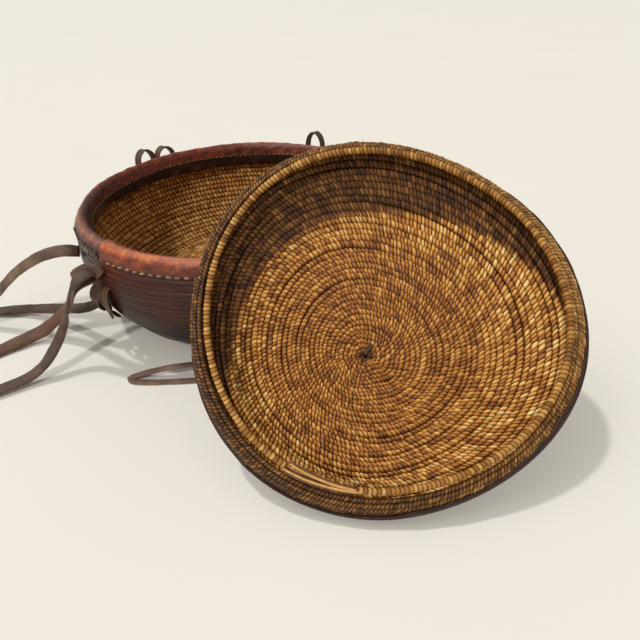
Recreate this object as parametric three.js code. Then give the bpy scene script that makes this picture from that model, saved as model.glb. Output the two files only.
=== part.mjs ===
// A round coiled straw basket covered in leather, with its lid taken off and leant against it.
// Millimetres, +Z up, +Y away from the viewer, origin at the middle of the base's flat underside.
import * as THREE from 'three';
import { mergeVertices } from 'three/addons/utils/BufferGeometryUtils.js';

// Clearances and materials' thicknesses
const gap = 0.3;
const leather = 2;
const thinLeather = 1.2;
const coilWall = 4.5;
const aroundCount = 48;

// Base: a bulging bowl, drawn in at the rim
const baseHeight = 102;
const footRadius = 100;
const bulgeRadius = 152.5;
const bulgeHeightShare = 0.706;
const bulgeHeight = baseHeight * bulgeHeightShare;
const shoulderDrop = 8;
const shoulderHeight = baseHeight - shoulderDrop;
const shoulderDrawIn = 6.5;
const rimDrawIn = 12.5;
const rimRadius = bulgeRadius - rimDrawIn;
const rimCourse = 6;
const rimCourseHeight = 9;

// Leather band folded over the base's rim, and the strip inside below it
const bandOuterDrop = 14;
const bandInnerDrop = 10;
const bandCrown = 2;
const stripHeight = 14;

// Lid: a shallow dish with its opening up, measured from its rim plane
const lidBulgeRadius = 124.5;
const lidBulgeDepth = 12;
const lidMouthDrawIn = 15.5;
const lidRimRadius = lidBulgeRadius - lidMouthDrawIn;
const lidRimCoil = 4.2;
const lidFloorRadius = 46;
const lidDepth = 36.5;

// Edge of the lid's leather, cut unevenly: its depth, how far that swings, and where it is deepest
const lidEdgeDepth = 13;
const lidEdgeSwing = 4;
const lidEdgeDeepest = THREE.MathUtils.degToRad(160);

// Courses that stand out from the coiled straw on the inside, and hollows between them
const courseCrest = 0.9;
const courseHollow = 0.6;

// How the lid lies against the base: its lean from level, its turn about the upright, and the middle
// of its rim plane, which is further forward for a wider or a higher base
const lidLean = THREE.MathUtils.degToRad(40.2);
const lidTurn = THREE.MathUtils.degToRad(-3);
const lidReach = 63.1;
const lidAside = 107.5;
const lidRimHeight = 96.3;
const lidForward = rimRadius + baseHeight / Math.tan(lidLean) - lidReach;
const lidPlace = new THREE.Vector3(lidAside, -lidForward, lidRimHeight);

// Out-of-round of each hand-made ring, and how far the lid's floor has slumped sideways
const baseLobes = [{ lobes: 2, swell: 1.2, turn: 0.6 }, { lobes: 3, swell: 0.8, turn: 2.1 }];
const lidLobes = [{ lobes: 2, swell: 2.3, turn: -0.39 }, { lobes: 3, swell: 2.65, turn: -0.08 }];
const lidSlump = new THREE.Vector2(-8, -30);
const slumpHoldShare = 0.5;

// Thongs: flat strips of leather
const thongWidth = 11;
const frontThongWidth = 8.5;
const thongThickness = 1.8;
const loopWidth = 7;

const straw = new THREE.MeshStandardMaterial({ color: 0xb07a35, roughness: 0.75, metalness: 0 });
const strawPale = new THREE.MeshStandardMaterial({ color: 0xc99a55, roughness: 0.7, metalness: 0 });
const hide = new THREE.MeshStandardMaterial({ color: 0x5c2a1e, roughness: 0.55, metalness: 0 });
const bandHide = new THREE.MeshStandardMaterial({ color: 0x8a3d1c, roughness: 0.5, metalness: 0 });
const darkHide = new THREE.MeshStandardMaterial({ color: 0x2c1c16, roughness: 0.7, metalness: 0 });
const thongHide = new THREE.MeshStandardMaterial({ color: 0x4a3830, roughness: 0.65, metalness: 0 });
const thread = new THREE.MeshStandardMaterial({ color: 0xcbb98a, roughness: 0.8, metalness: 0 });

const basket = new THREE.Group();
const lid = new THREE.Group();
lid.rotation.x = lidLean;
const lidStand = new THREE.Group();
lidStand.position.copy(lidPlace);
lidStand.rotation.z = lidTurn;
lidStand.add(lid);
basket.add(lidStand);

function addPiece(parent, name, geometry, material) {
  const mesh = new THREE.Mesh(geometry, material);
  mesh.name = name;
  parent.add(mesh);
}

// Swells a ring's radius where its lobes are, in proportion to how far out a point is.
function outOfRound(x, y, lobes, fullRadius) {
  const angle = Math.atan2(y, x);
  const share = Math.hypot(x, y) / fullRadius;
  let swell = 0;
  for (const lobe of lobes) {
    swell += lobe.swell * share * Math.cos(lobe.lobes * (angle - lobe.turn));
  }
  return [x + swell * Math.cos(angle), y + swell * Math.sin(angle)];
}

function warpBase(x, y, z) {
  return [...outOfRound(x, y, baseLobes, bulgeRadius), z];
}

// The lid's floor has slumped: the deeper and nearer the middle, the further it has moved.
function warpLid(x, y, z) {
  const [roundX, roundY] = outOfRound(x, y, lidLobes, lidBulgeRadius);
  const deep = (z / lidDepth) ** 2;
  const moved = deep * (1 - slumpHoldShare * (x * x + y * y) / lidBulgeRadius ** 2);
  return [roundX + lidSlump.x * moved, roundY + lidSlump.y * moved, z];
}

function warped(geometry, warp) {
  const place = geometry.getAttribute('position');
  for (let i = 0; i < place.count; i += 1) {
    place.setXYZ(i, ...warp(place.getX(i), place.getY(i), place.getZ(i)));
  }
  return geometry;
}

// Turns an outline of radius and height about the upright, counterclockwise from the outside. The
// outline may change with the angle, and has as many points at each.
function turnedBy(outlineAt, warp) {
  const lathe = new THREE.LatheGeometry(outlineAt(0), aroundCount);
  const place = lathe.getAttribute('position');
  for (let i = 0; i <= aroundCount; i += 1) {
    const turn = 2 * Math.PI * i / aroundCount;
    const outline = outlineAt(turn - Math.PI / 2);
    outline.forEach(({ x, y }, k) => {
      place.setXYZ(i * outline.length + k, x * Math.sin(turn), y, x * Math.cos(turn));
    });
  }
  lathe.rotateX(Math.PI / 2);
  lathe.deleteAttribute('normal');
  lathe.deleteAttribute('uv');
  return warped(mergeVertices(lathe), warp);
}

function turned(outline, warp) {
  return turnedBy(() => outline, warp);
}

// Joins rings of as many points each into one closed skin, back to the first or capped at both ends.
function skinned(rings, closed) {
  const sides = rings[0].length;
  const faces = [];
  const last = closed ? rings.length : rings.length - 1;
  for (let i = 0; i < last; i += 1) {
    for (let k = 0; k < sides; k += 1) {
      const here = i * sides;
      const next = ((i + 1) % rings.length) * sides;
      const along = (k + 1) % sides;
      faces.push(here + k, next + along, next + k, here + k, here + along, next + along);
    }
  }
  if (!closed) {
    const end = last * sides;
    for (let k = 1; k < sides - 1; k += 1) {
      faces.push(0, k + 1, k, end, end + k, end + k + 1);
    }
  }
  const geometry = new THREE.BufferGeometry();
  geometry.setAttribute('position', new THREE.Float32BufferAttribute(rings.flat(2), 3));
  geometry.setIndex(faces);
  return geometry;
}

function ringOutline(points) {
  return [...points, points[0]];
}

// A point on the base's leather: along the lower curve as the turn goes from 0 at the foot to 1 at
// the bulge, moved inward square to the surface.
function bowlPoint(turn, inset) {
  const angle = turn * Math.PI / 2;
  const wide = bulgeRadius - footRadius;
  const square = new THREE.Vector2(Math.sin(angle) / wide, -Math.cos(angle) / bulgeHeight).normalize();
  return new THREE.Vector2(footRadius + wide * Math.sin(angle), bulgeHeight - bulgeHeight * Math.cos(angle))
    .addScaledVector(square, -inset);
}

// The same above the bulge, as the rise goes from 0 at the bulge to 1 at the shoulder.
function shoulderPoint(rise, inset) {
  const high = shoulderHeight - bulgeHeight;
  const square = new THREE.Vector2(1, 2 * shoulderDrawIn * rise / high).normalize();
  return new THREE.Vector2(bulgeRadius - shoulderDrawIn * rise * rise, bulgeHeight + high * rise)
    .addScaledVector(square, -inset);
}

const bowlTurnShares = [0.12, 0.26, 0.42, 0.58, 0.76, 1];
const shoulderRiseShares = [0.45, 0.8, 1];
const bowlInset = leather + gap;
const bowlInnerInset = bowlInset + coilWall;
const rimTop = baseHeight - leather - gap;
const rimInner = rimRadius - rimCourse / 2;
const rimOuter = rimRadius + rimCourse / 2;

// Base bowl: coiled straw, floor and wall in one
const bowlOutside = [
  new THREE.Vector2(0, bowlInset),
  new THREE.Vector2(footRadius, bowlInset),
  ...bowlTurnShares.map((turn) => bowlPoint(turn, bowlInset)),
  ...shoulderRiseShares.map((rise) => shoulderPoint(rise, bowlInset)),
  new THREE.Vector2(rimOuter, rimTop - leather),
  new THREE.Vector2(rimRadius, rimTop),
  new THREE.Vector2(rimInner, rimTop - leather),
  new THREE.Vector2(rimInner, rimTop - rimCourseHeight),
];
// Inside, every other place stands out as a course and the ones between are hollow.
const bowlCourseShares = [0.98, 0.85, 0.72, 0.59, 0.46, 0.33, 0.2, 0.08];
const floorCourseShares = [0.97, 0.85, 0.73, 0.61, 0.49, 0.37, 0.24, 0.12];

function courseRelief(i) {
  return i % 2 === 0 ? -courseHollow : courseCrest;
}

const bowlInside = [
  ...[...shoulderRiseShares].reverse().slice(1).map((rise) => shoulderPoint(rise, bowlInnerInset)),
  ...bowlCourseShares.map((turn, i) => bowlPoint(turn, bowlInnerInset + courseRelief(i))),
  ...floorCourseShares.map((out, i) => new THREE.Vector2(footRadius * out, bowlInnerInset + courseRelief(i))),
  new THREE.Vector2(0, bowlInnerInset),
];
addPiece(basket, 'base_coiled_bowl', turned([...bowlOutside, ...bowlInside], warpBase), straw);

// Leather skin round the wall, and the round piece under the floor that the basket stands on
const skinFootShare = 0.06;
const skinOuter = [
  ...[skinFootShare, ...bowlTurnShares].map((turn) => bowlPoint(turn, 0)),
  ...shoulderRiseShares.map((rise) => shoulderPoint(rise, 0)),
];
const skinInner = [
  ...[skinFootShare, ...bowlTurnShares].map((turn) => bowlPoint(turn, leather)),
  ...shoulderRiseShares.map((rise) => shoulderPoint(rise, leather)),
];
const skinOutline = ringOutline([...skinOuter, ...skinInner.reverse()]);
addPiece(basket, 'base_leather_wall', turned(skinOutline, warpBase), hide);

const soleRadius = bowlPoint(skinFootShare, leather).x - gap;
const soleOutline = [
  new THREE.Vector2(0, 0),
  new THREE.Vector2(footRadius, 0),
  new THREE.Vector2(soleRadius, bowlPoint(skinFootShare, 0).y / 2),
  new THREE.Vector2(soleRadius, leather),
  new THREE.Vector2(0, leather),
];
addPiece(basket, 'base_leather_sole', turned(soleOutline, warpBase), hide);

// Rim band: one strip folded over the rim, down the outside and a little way down the inside
const bandFoot = baseHeight - bandOuterDrop;
const footRise = (bandFoot - bulgeHeight) / (shoulderHeight - bulgeHeight);
const bandClear = new THREE.Vector2(gap, 0);
const bandOut = new THREE.Vector2(gap + leather, 0);
const bandOutline = [
  shoulderPoint(footRise, 0).add(bandClear),
  shoulderPoint(footRise, 0).add(bandOut),
  shoulderPoint(1, 0).add(bandOut),
  new THREE.Vector2(rimOuter + gap + leather, rimTop - leather + gap),
  new THREE.Vector2(rimRadius + bandCrown, baseHeight),
  new THREE.Vector2(rimRadius - bandCrown, baseHeight),
  new THREE.Vector2(rimInner - gap - leather, rimTop - leather + gap),
  new THREE.Vector2(rimInner - gap - leather, baseHeight - bandInnerDrop),
  new THREE.Vector2(rimInner - gap, baseHeight - bandInnerDrop),
  new THREE.Vector2(rimInner - gap, rimTop - leather + gap),
  new THREE.Vector2(rimRadius, rimTop + gap),
  new THREE.Vector2(rimOuter + gap, rimTop - leather + gap),
  shoulderPoint(1, 0).add(bandClear),
];
addPiece(basket, 'base_rim_band', turned(ringOutline(bandOutline), warpBase), bandHide);

// Dark strip inside, sewn against the wall below the band
const stripTop = baseHeight - bandInnerDrop - gap;
const stripRise = (stripTop - stripHeight - bulgeHeight) / (shoulderHeight - bulgeHeight);
const stripRises = [stripRise, ...shoulderRiseShares.slice(0, -1).filter((rise) => rise > stripRise)];
const stripBack = rimInner - gap;
const stripOutline = [
  ...stripRises.map((rise) => shoulderPoint(rise, bowlInnerInset + gap)),
  new THREE.Vector2(stripBack, rimTop - rimCourseHeight - gap),
  new THREE.Vector2(stripBack, stripTop),
  new THREE.Vector2(stripBack - thinLeather, stripTop),
  new THREE.Vector2(stripBack - thinLeather, rimTop - rimCourseHeight - gap - thinLeather),
  ...stripRises.reverse().map((rise) => shoulderPoint(rise, bowlInnerInset + gap + thinLeather)),
];
addPiece(basket, 'base_inner_strip', turned(ringOutline(stripOutline), warpBase), darkHide);

const lidCoilBulge = lidBulgeRadius - leather - gap;

// Lid dish: the outline of its coiled straw, from the rim out to the bulge and down to the floor
function collarPoint(turn, inset) {
  const angle = turn * Math.PI / 2;
  const wide = lidCoilBulge - lidRimRadius - lidRimCoil / 2;
  const high = lidBulgeDepth - lidRimCoil - gap;
  const square = new THREE.Vector2(Math.cos(angle) / wide, Math.sin(angle) / high).normalize();
  const out = lidCoilBulge - wide + wide * Math.cos(angle);
  return new THREE.Vector2(out, high * Math.sin(angle) - lidBulgeDepth).addScaledVector(square, -inset);
}

function dishPoint(turn, inset) {
  const angle = turn * Math.PI / 2;
  const wide = lidCoilBulge - lidFloorRadius;
  const high = lidDepth - leather - gap - lidBulgeDepth;
  const square = new THREE.Vector2(Math.sin(angle) / wide, -Math.cos(angle) / high).normalize();
  return new THREE.Vector2(lidFloorRadius + wide * Math.sin(angle), -lidBulgeDepth - high * Math.cos(angle))
    .addScaledVector(square, -inset);
}

const dishTurnShares = [0.2, 0.4, 0.6, 0.8, 1];
const collarTurnShares = [0.3, 0.6, 0.85];
const lidLipDrop = lidRimCoil + gap;
const lidFloorTop = coilWall + gap + leather - lidDepth;
const dishCourseShares = [0.93, 0.79, 0.63, 0.49, 0.38, 0.28, 0.18, 0.09];
const lidFloorCourseShares = [0.98, 0.74, 0.5, 0.26];
const dishOutline = [
  new THREE.Vector2(0, lidFloorTop - coilWall),
  new THREE.Vector2(lidFloorRadius, lidFloorTop - coilWall),
  ...dishTurnShares.map((turn) => dishPoint(turn, 0)),
  ...collarTurnShares.map((turn) => collarPoint(turn, 0)),
  new THREE.Vector2(lidRimRadius + lidRimCoil / 2, -lidLipDrop),
  new THREE.Vector2(lidRimRadius - lidRimCoil / 2, -lidLipDrop),
  ...[...collarTurnShares].reverse().map((turn) => collarPoint(turn, coilWall)),
  ...dishCourseShares.map((turn, i) => dishPoint(turn, coilWall + courseRelief(i))),
  ...lidFloorCourseShares.map((out, i) => new THREE.Vector2(lidFloorRadius * out, lidFloorTop + courseRelief(i))),
  new THREE.Vector2(0, lidFloorTop),
];
addPiece(lid, 'lid_coiled_dish', turned(dishOutline, warpLid), straw);

// Leather cover behind the dish, from its uneven edge near the widest line round to the back's middle
const coverTurnShares = [0.2, 0.4, 0.6, 0.8];

function coverPoint(turn, inset) {
  return turn > 1 ? collarPoint(turn - 1, inset) : dishPoint(turn, inset);
}

function coverEdgeTurn(angle) {
  const under = lidEdgeDepth + lidEdgeSwing * Math.cos(angle - lidEdgeDeepest) - lidBulgeDepth;
  return under > 0
    ? Math.acos(under / (lidDepth - leather - gap - lidBulgeDepth)) / (Math.PI / 2)
    : 1 + Math.asin(-under / (lidBulgeDepth - lidLipDrop)) / (Math.PI / 2);
}

function coverOutline(angle) {
  const edge = coverEdgeTurn(angle);
  const turns = [...coverTurnShares, Math.min(1, (coverTurnShares.at(-1) + edge) / 2), edge];
  return [
    new THREE.Vector2(0, -lidDepth),
    new THREE.Vector2(lidFloorRadius, -lidDepth),
    ...turns.map((turn) => coverPoint(turn, -gap - leather)),
    ...turns.reverse().map((turn) => coverPoint(turn, -gap)),
    new THREE.Vector2(lidFloorRadius, leather - lidDepth),
    new THREE.Vector2(0, leather - lidDepth),
  ];
}

addPiece(lid, 'lid_leather_cover', turnedBy(coverOutline, warpLid), hide);

// Last course of the lid's rim: one round coil, broken away along a short stretch
const coilSides = 8;
const coilSteps = 52;
const breakFrom = THREE.MathUtils.degToRad(-121);
const breakTo = THREE.MathUtils.degToRad(-98);
const rimCoilMiddle = -lidRimCoil / 2;

function onLidRing(radius, angle, height) {
  const [x, y] = outOfRound(radius * Math.cos(angle), radius * Math.sin(angle), lidLobes, lidBulgeRadius);
  return new THREE.Vector3(x, y, height);
}

function rimCourseCurve(from, to) {
  const places = [];
  for (let i = 0; i <= coilSteps; i += 1) {
    places.push(onLidRing(lidRimRadius, from + (to - from) * i / coilSteps, rimCoilMiddle));
  }
  return new THREE.CatmullRomCurve3(places);
}

function roundSection(diameter, sides) {
  const section = new THREE.Shape();
  for (let i = 0; i < sides; i += 1) {
    const angle = 2 * Math.PI * i / sides;
    const corner = [diameter / 2 * Math.cos(angle), diameter / 2 * Math.sin(angle)];
    if (i === 0) {
      section.moveTo(...corner);
    } else {
      section.lineTo(...corner);
    }
  }
  return section;
}

function roundTube(curve, diameter, sides, steps) {
  const tube = new THREE.ExtrudeGeometry(roundSection(diameter, sides), { steps, extrudePath: curve });
  tube.deleteAttribute('normal');
  tube.deleteAttribute('uv');
  return mergeVertices(tube);
}

const rimCoilCurve = rimCourseCurve(breakTo, breakFrom + 2 * Math.PI);
addPiece(lid, 'lid_rim_coil', roundTube(rimCoilCurve, lidRimCoil, coilSides, coilSteps), strawPale);

// Bare straws of the core, standing out of the broken stretch
const strawDiameter = 1.3;
const strawSides = 5;
const strawSteps = 6;
const strawLift = 2.6;
const strawRowShares = [
  { out: -1.25, up: -1.15, from: 0.04, to: 0.97, lift: 0 },
  { out: 0, up: -1.15, from: 0.03, to: 0.95, lift: 0.15 },
  { out: 1.25, up: -1.15, from: 0.05, to: 0.9, lift: 0.3 },
  { out: -0.7, up: 0.1, from: 0.06, to: 0.96, lift: 0.45 },
  { out: 0.65, up: 0.1, from: 0.04, to: 0.93, lift: 0.7 },
  { out: 0, up: 1.35, from: 0.08, to: 0.86, lift: 1 },
];

function strawCurve({ out, up, from, to, lift }) {
  const places = [];
  for (let i = 0; i <= strawSteps; i += 1) {
    const share = i / strawSteps;
    const angle = breakFrom + (breakTo - breakFrom) * (from + (to - from) * share);
    const height = rimCoilMiddle + up * strawDiameter + lift * strawLift * share * share;
    places.push(onLidRing(lidRimRadius + out * strawDiameter, angle, height));
  }
  return new THREE.CatmullRomCurve3(places);
}

strawRowShares.forEach((row, i) => {
  const bareStraw = roundTube(strawCurve(row), strawDiameter, strawSides, strawSteps);
  addPiece(lid, `lid_broken_straw_${i + 1}`, bareStraw, strawPale);
});

// Start of the lid's spiral: a small knot of straw and bark standing on the floor
const knotWidth = 5;
const knotHeight = 6;
const knotSides = 8;
const knotSteps = 8;
const knotFoot = new THREE.Vector3(...warpLid(0, 0, lidFloorTop));
const knotCurve = new THREE.CatmullRomCurve3([
  knotFoot.clone().add(new THREE.Vector3(0, 0, gap)),
  knotFoot.clone().add(new THREE.Vector3(0, 0, knotHeight / 2)),
  knotFoot.clone().add(new THREE.Vector3(knotWidth / 2, -knotWidth / 4, knotHeight)),
]);
addPiece(lid, 'lid_centre_knot', roundTube(knotCurve, knotWidth, knotSides, knotSteps), darkHide);

// Cream thread along the band's lower edge: one thread that crosses the edge at every stitch
const stitchCount = 72;
const threadThick = 1;
const stitchReach = 2.4;
const threadSides = 4;
const stitchHeight = bandFoot + stitchReach;
const stitchRise = (stitchHeight - bulgeHeight) / (shoulderHeight - bulgeHeight);
const stitchRadius = shoulderPoint(stitchRise, 0).x + bandOut.x + gap + threadThick;
const threadSteps = 2 * stitchCount;
const threadRings = [];
for (let i = 0; i < threadSteps; i += 1) {
  const angle = 2 * Math.PI * i / threadSteps;
  const height = stitchHeight + (i % 2 === 0 ? stitchReach : -stitchReach) / 2;
  const ring = [];
  for (let k = 0; k < threadSides; k += 1) {
    const around = 2 * Math.PI * k / threadSides;
    const radius = stitchRadius + threadThick / 2 * Math.cos(around);
    const drop = threadThick / 2 * Math.sin(around);
    ring.push(warpBase(radius * Math.cos(angle), radius * Math.sin(angle), height - drop));
  }
  threadRings.push(ring);
}
addPiece(basket, 'base_rim_stitching', skinned(threadRings, true), thread);

// The wall's radius at a height, along the straight flats between the points of its outline
function wallRadius(height) {
  const above = Math.max(1, skinOuter.findIndex((point) => point.y >= height));
  const low = skinOuter[above - 1];
  const high = skinOuter[above];
  return THREE.MathUtils.mapLinear(height, low.y, high.y, low.x, high.x);
}

// A place so far proud of the wall, counted from the radius that the wall has at the seat's height
function onWall(degrees, height, proud, seat = height) {
  const angle = THREE.MathUtils.degToRad(degrees);
  const radius = wallRadius(seat) + proud;
  const [x, y] = warpBase(radius * Math.cos(angle), radius * Math.sin(angle), 0);
  return new THREE.Vector3(x, y, height);
}

// Four places round the wall where thongs are tied, a quarter turn apart. At each a short strip
// hangs in a V from two slits in the leather.
const stationTurns = { front_left: 229, back_left: 140, back_right: 55, front_right: 319 };
const keeperWidth = 26;
const keeperHeight = 24;
const keeperStrip = 9;
const keeperDrop = 6;
const keeperTop = bulgeHeight - keeperDrop;
const keeperSlope = (wallRadius(keeperTop) - wallRadius(keeperTop - keeperHeight / 2)) / (keeperHeight / 2);

const keeperShape = new THREE.Shape();
keeperShape.moveTo(-keeperWidth / 2, 0);
keeperShape.lineTo(-keeperStrip / 3, -keeperHeight);
keeperShape.lineTo(keeperStrip / 2, -keeperHeight);
keeperShape.lineTo(keeperWidth / 2, 0);
keeperShape.lineTo(keeperWidth / 2 - keeperStrip, 0);
keeperShape.lineTo(0, keeperStrip - keeperHeight);
keeperShape.lineTo(keeperStrip - keeperWidth / 2, 0);
for (const [station, degrees] of Object.entries(stationTurns)) {
  const keeper = new THREE.ExtrudeGeometry(keeperShape, { depth: thongThickness, bevelEnabled: false });
  keeper.rotateX(Math.PI / 2 + Math.atan(keeperSlope));
  keeper.rotateZ(THREE.MathUtils.degToRad(degrees) + Math.PI / 2);
  keeper.translate(...onWall(degrees, keeperTop, gap).toArray());
  addPiece(basket, `tie_keeper_${station}`, keeper, thongHide);
}

// A flat strip of leather along a route, as wide as given towards the direction that acrossAt gives.
// Its section is a flat oblong with its corners taken off.
const cornerShare = 0.25;

function strip(route, acrossAt, width, thickness, steps) {
  const curve = new THREE.CatmullRomCurve3(route.map((place) => new THREE.Vector3(...place)));
  const half = width / 2;
  const thick = thickness / 2;
  const cut = thickness * cornerShare;
  const section = [
    [-half, cut - thick], [cut - half, -thick], [half - cut, -thick], [half, cut - thick],
    [half, thick - cut], [half - cut, thick], [cut - half, thick], [-half, thick - cut],
  ];
  const rings = [];
  for (let i = 0; i <= steps; i += 1) {
    const share = i / steps;
    const middle = curve.getPoint(share);
    const way = curve.getTangent(share);
    const across = acrossAt(share, way);
    const face = new THREE.Vector3().crossVectors(way, across);
    rings.push(section.map(([a, b]) => {
      const corner = middle.clone().addScaledVector(across, a).addScaledVector(face, b);
      return corner.toArray();
    }));
  }
  return skinned(rings, false);
}

// Leans from lying flat, in degrees at even steps along the strip.
function leaning(leans) {
  const up = new THREE.Vector3(0, 0, 1);
  return (share, way) => {
    const at = share * (leans.length - 1);
    const before = Math.min(Math.floor(at), leans.length - 2);
    const degrees = THREE.MathUtils.lerp(leans[before], leans[before + 1], at - before);
    const lean = THREE.MathUtils.degToRad(degrees);
    const level = new THREE.Vector3().crossVectors(way, up).normalize();
    const square = new THREE.Vector3().crossVectors(level, way).normalize();
    return level.multiplyScalar(Math.cos(lean)).addScaledVector(square, Math.sin(lean));
  };
}

// Stands out from the wall all the way, as a loop bent over in a ring does.
function standingOut(degrees) {
  const out = onWall(degrees, 0, 0, bulgeHeight).normalize();
  return (share, way) => out.clone().addScaledVector(way, -out.dot(way)).normalize();
}

// Short loops of narrow thong that stand up behind the rim at the two back places
const loopSteps = 14;
const loopFootRise = 4;
const loopFoot = bulgeHeight + loopFootRise;
const loopFootProud = loopWidth / 2 + gap;
const loopStandOff = 1.5;
const loopProud = Math.max(0, stitchRadius + threadThick / 2 - bulgeRadius) + loopFootProud + loopStandOff;
const loopRise = 10;
const loopBendShare = 5 / 6;
const tieLoops = {
  tie_loop_back_left_1: { from: 144.3, to: 137.3, riseShare: 0.65 },
  tie_loop_back_left_2: { from: 135.3, to: 128.3, riseShare: 0.45 },
  tie_loop_back_right_1: { from: 67, to: 60.5, riseShare: 1 },
  tie_loop_back_right_2: { from: 49, to: 38, riseShare: 0.6 },
};
for (const [name, { from, to, riseShare }] of Object.entries(tieLoops)) {
  const middle = (from + to) / 2;
  const bend = (to - from) * (1 - loopBendShare);
  const top = baseHeight + loopRise * riseShare;
  const bendHeight = THREE.MathUtils.lerp(bandFoot, top, loopBendShare);
  const route = [
    onWall(from, loopFoot, loopFootProud),
    onWall(from, bandFoot, loopProud, bulgeHeight),
    onWall(from, (bandFoot + top) / 2, loopProud, bulgeHeight),
    onWall(from + bend, bendHeight, loopProud, bulgeHeight),
    onWall(middle, top, loopProud, bulgeHeight),
    onWall(to - bend, bendHeight, loopProud, bulgeHeight),
    onWall(to, (bandFoot + top) / 2, loopProud, bulgeHeight),
    onWall(to, bandFoot, loopProud, bulgeHeight),
    onWall(to, loopFoot, loopFootProud),
  ].map((place) => place.toArray());
  const loop = strip(route, standingOut(middle), loopWidth, thongThickness, loopSteps);
  addPiece(basket, name, loop, thongHide);
}

// Cut end of a tie pushed out through the wall beside the front left place
const tabWidth = 8;
const tabLength = 9;
const tabTurn = 214.6;
const tabDrop = 5;
const tabSteps = 4;
const tabLeans = [30, 40];
const tabHeight = bulgeHeight - tabDrop;
const tabRoute = [
  onWall(tabTurn, tabHeight, gap + thongThickness / 2),
  onWall(tabTurn, tabHeight - tabLength / 6, tabLength / 2),
  onWall(tabTurn, tabHeight - tabLength / 2, tabLength),
].map((place) => place.toArray());
const tab = strip(tabRoute, leaning(tabLeans), tabWidth, thongThickness, tabSteps);
addPiece(basket, 'tie_tab_front_left', tab, bandHide);

// Routes of the free thongs, from where each leaves the wall to its bare end on the table
const thongRoutes = {
  thong_a: {
    route: [
      [-127.4, -85.3, 81], [-132.3, -89.6, 84], [-139.8, -90.9, 84.5], [-149.1, -91.7, 83],
      [-160.2, -90.6, 79], [-172.2, -87.6, 72.5], [-185.8, -83.9, 64], [-198.1, -81.5, 55],
      [-210, -80.3, 45], [-222, -79, 34], [-234, -78, 23], [-246, -78, 13],
      [-257, -79, 6.5], [-268, -81, 4], [-279, -84, 4],
    ],
    leans: [60, 60, 60, 58, 55, 52, 50, 48, 45, 40, 30, 20, 10, 5, 5],
    width: thongWidth,
    steps: 28,
  },
  thong_b: {
    route: [
      [-112.6, -103.4, 44.5], [-118.5, -103.6, 41.5], [-124.5, -102.2, 38], [-131, -99.5, 35],
      [-139, -95, 31], [-150, -87.7, 26], [-169.4, -76.2, 18.5], [-190.9, -67, 12.5],
      [-209.5, -61, 8.5], [-226.8, -58.7, 6], [-242.5, -58.7, 5], [-257, -62, 4.5], [-270, -67, 4],
    ],
    leans: [40, 40, 40, 40, 40, 38, 35, 35, 33, 30, 25, 15, 8],
    width: thongWidth,
    steps: 24,
  },
  thong_c: {
    route: [
      [-99.7, -117.6, 76], [-103, -122, 77.5], [-108.5, -125, 77], [-115, -124.5, 72.5],
      [-121.5, -121, 65.5], [-129, -115.5, 56], [-136.5, -110, 46.5], [-145.7, -105.5, 37],
      [-155.6, -101, 28], [-167.2, -99.4, 18], [-176.9, -100.3, 11.5], [-186.5, -103.5, 8],
      [-197.5, -110.5, 6], [-209.4, -119.5, 5], [-221.6, -128.5, 4.5], [-233, -138, 4],
    ],
    leans: [10, 15, 20, 28, 35, 40, 42, 42, 42, 40, 38, 35, 30, 25, 15, 8],
    width: thongWidth,
    steps: 30,
  },
  thong_d: {
    route: [
      [-100.5, -120, 81.5], [-103.5, -125, 83.5], [-108.5, -130, 82.5], [-114, -132.5, 78.5],
      [-119.5, -132, 70], [-125, -131, 59.5], [-130, -130.5, 48.5], [-135.5, -133, 38.5],
      [-141.4, -138, 28], [-149.4, -146.5, 17], [-157, -151.8, 10.5], [-165, -157, 7],
      [-175.5, -163.5, 6], [-185, -169, 5.5], [-196, -175.5, 5], [-206, -181, 4.5],
    ],
    leans: [10, 15, 20, 25, 25, 15, 0, -15, -25, -30, -30, -28, -25, -20, -12, -5],
    width: thongWidth,
    steps: 30,
  },
  thong_front: {
    route: [
      [116.8, -102.8, 64], [118.6, -111.6, 52], [113, -120, 38], [104, -127, 24],
      [92, -133, 12], [76, -138, 6], [54, -142, 4], [30, -145.5, 5],
      [8, -148.5, 8], [-14, -151, 11], [-33.3, -151.5, 12], [-52, -151.5, 9.5],
      [-68, -151.8, 6], [-79, -152.8, 3], [-84.5, -155.2, 2], [-79, -158.2, 1.4],
      [-66, -159.2, 1.3], [-46, -159, 1.3], [-24, -158, 1.3], [-4, -157, 1.3],
    ],
    leans: [0, 0, 5, 5, 5, 5, 5, 5, 5, 5, 5, 5, 5, 5, 3, 0, 0, 0, 0, 0],
    width: frontThongWidth,
    steps: 40,
  },
};
for (const [name, { route, leans, width, steps }] of Object.entries(thongRoutes)) {
  addPiece(basket, name, strip(route, leaning(leans), width, thongThickness, steps), thongHide);
}

export default basket;
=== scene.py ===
# A round coiled straw basket covered in ribbed leather, with its lid off and leant against its front.
# Metres, +Z up, +Y away from the viewer, origin at the middle of the base's flat underside.
import math

import bpy
import numpy as np
from mathutils import Matrix, Vector


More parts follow.
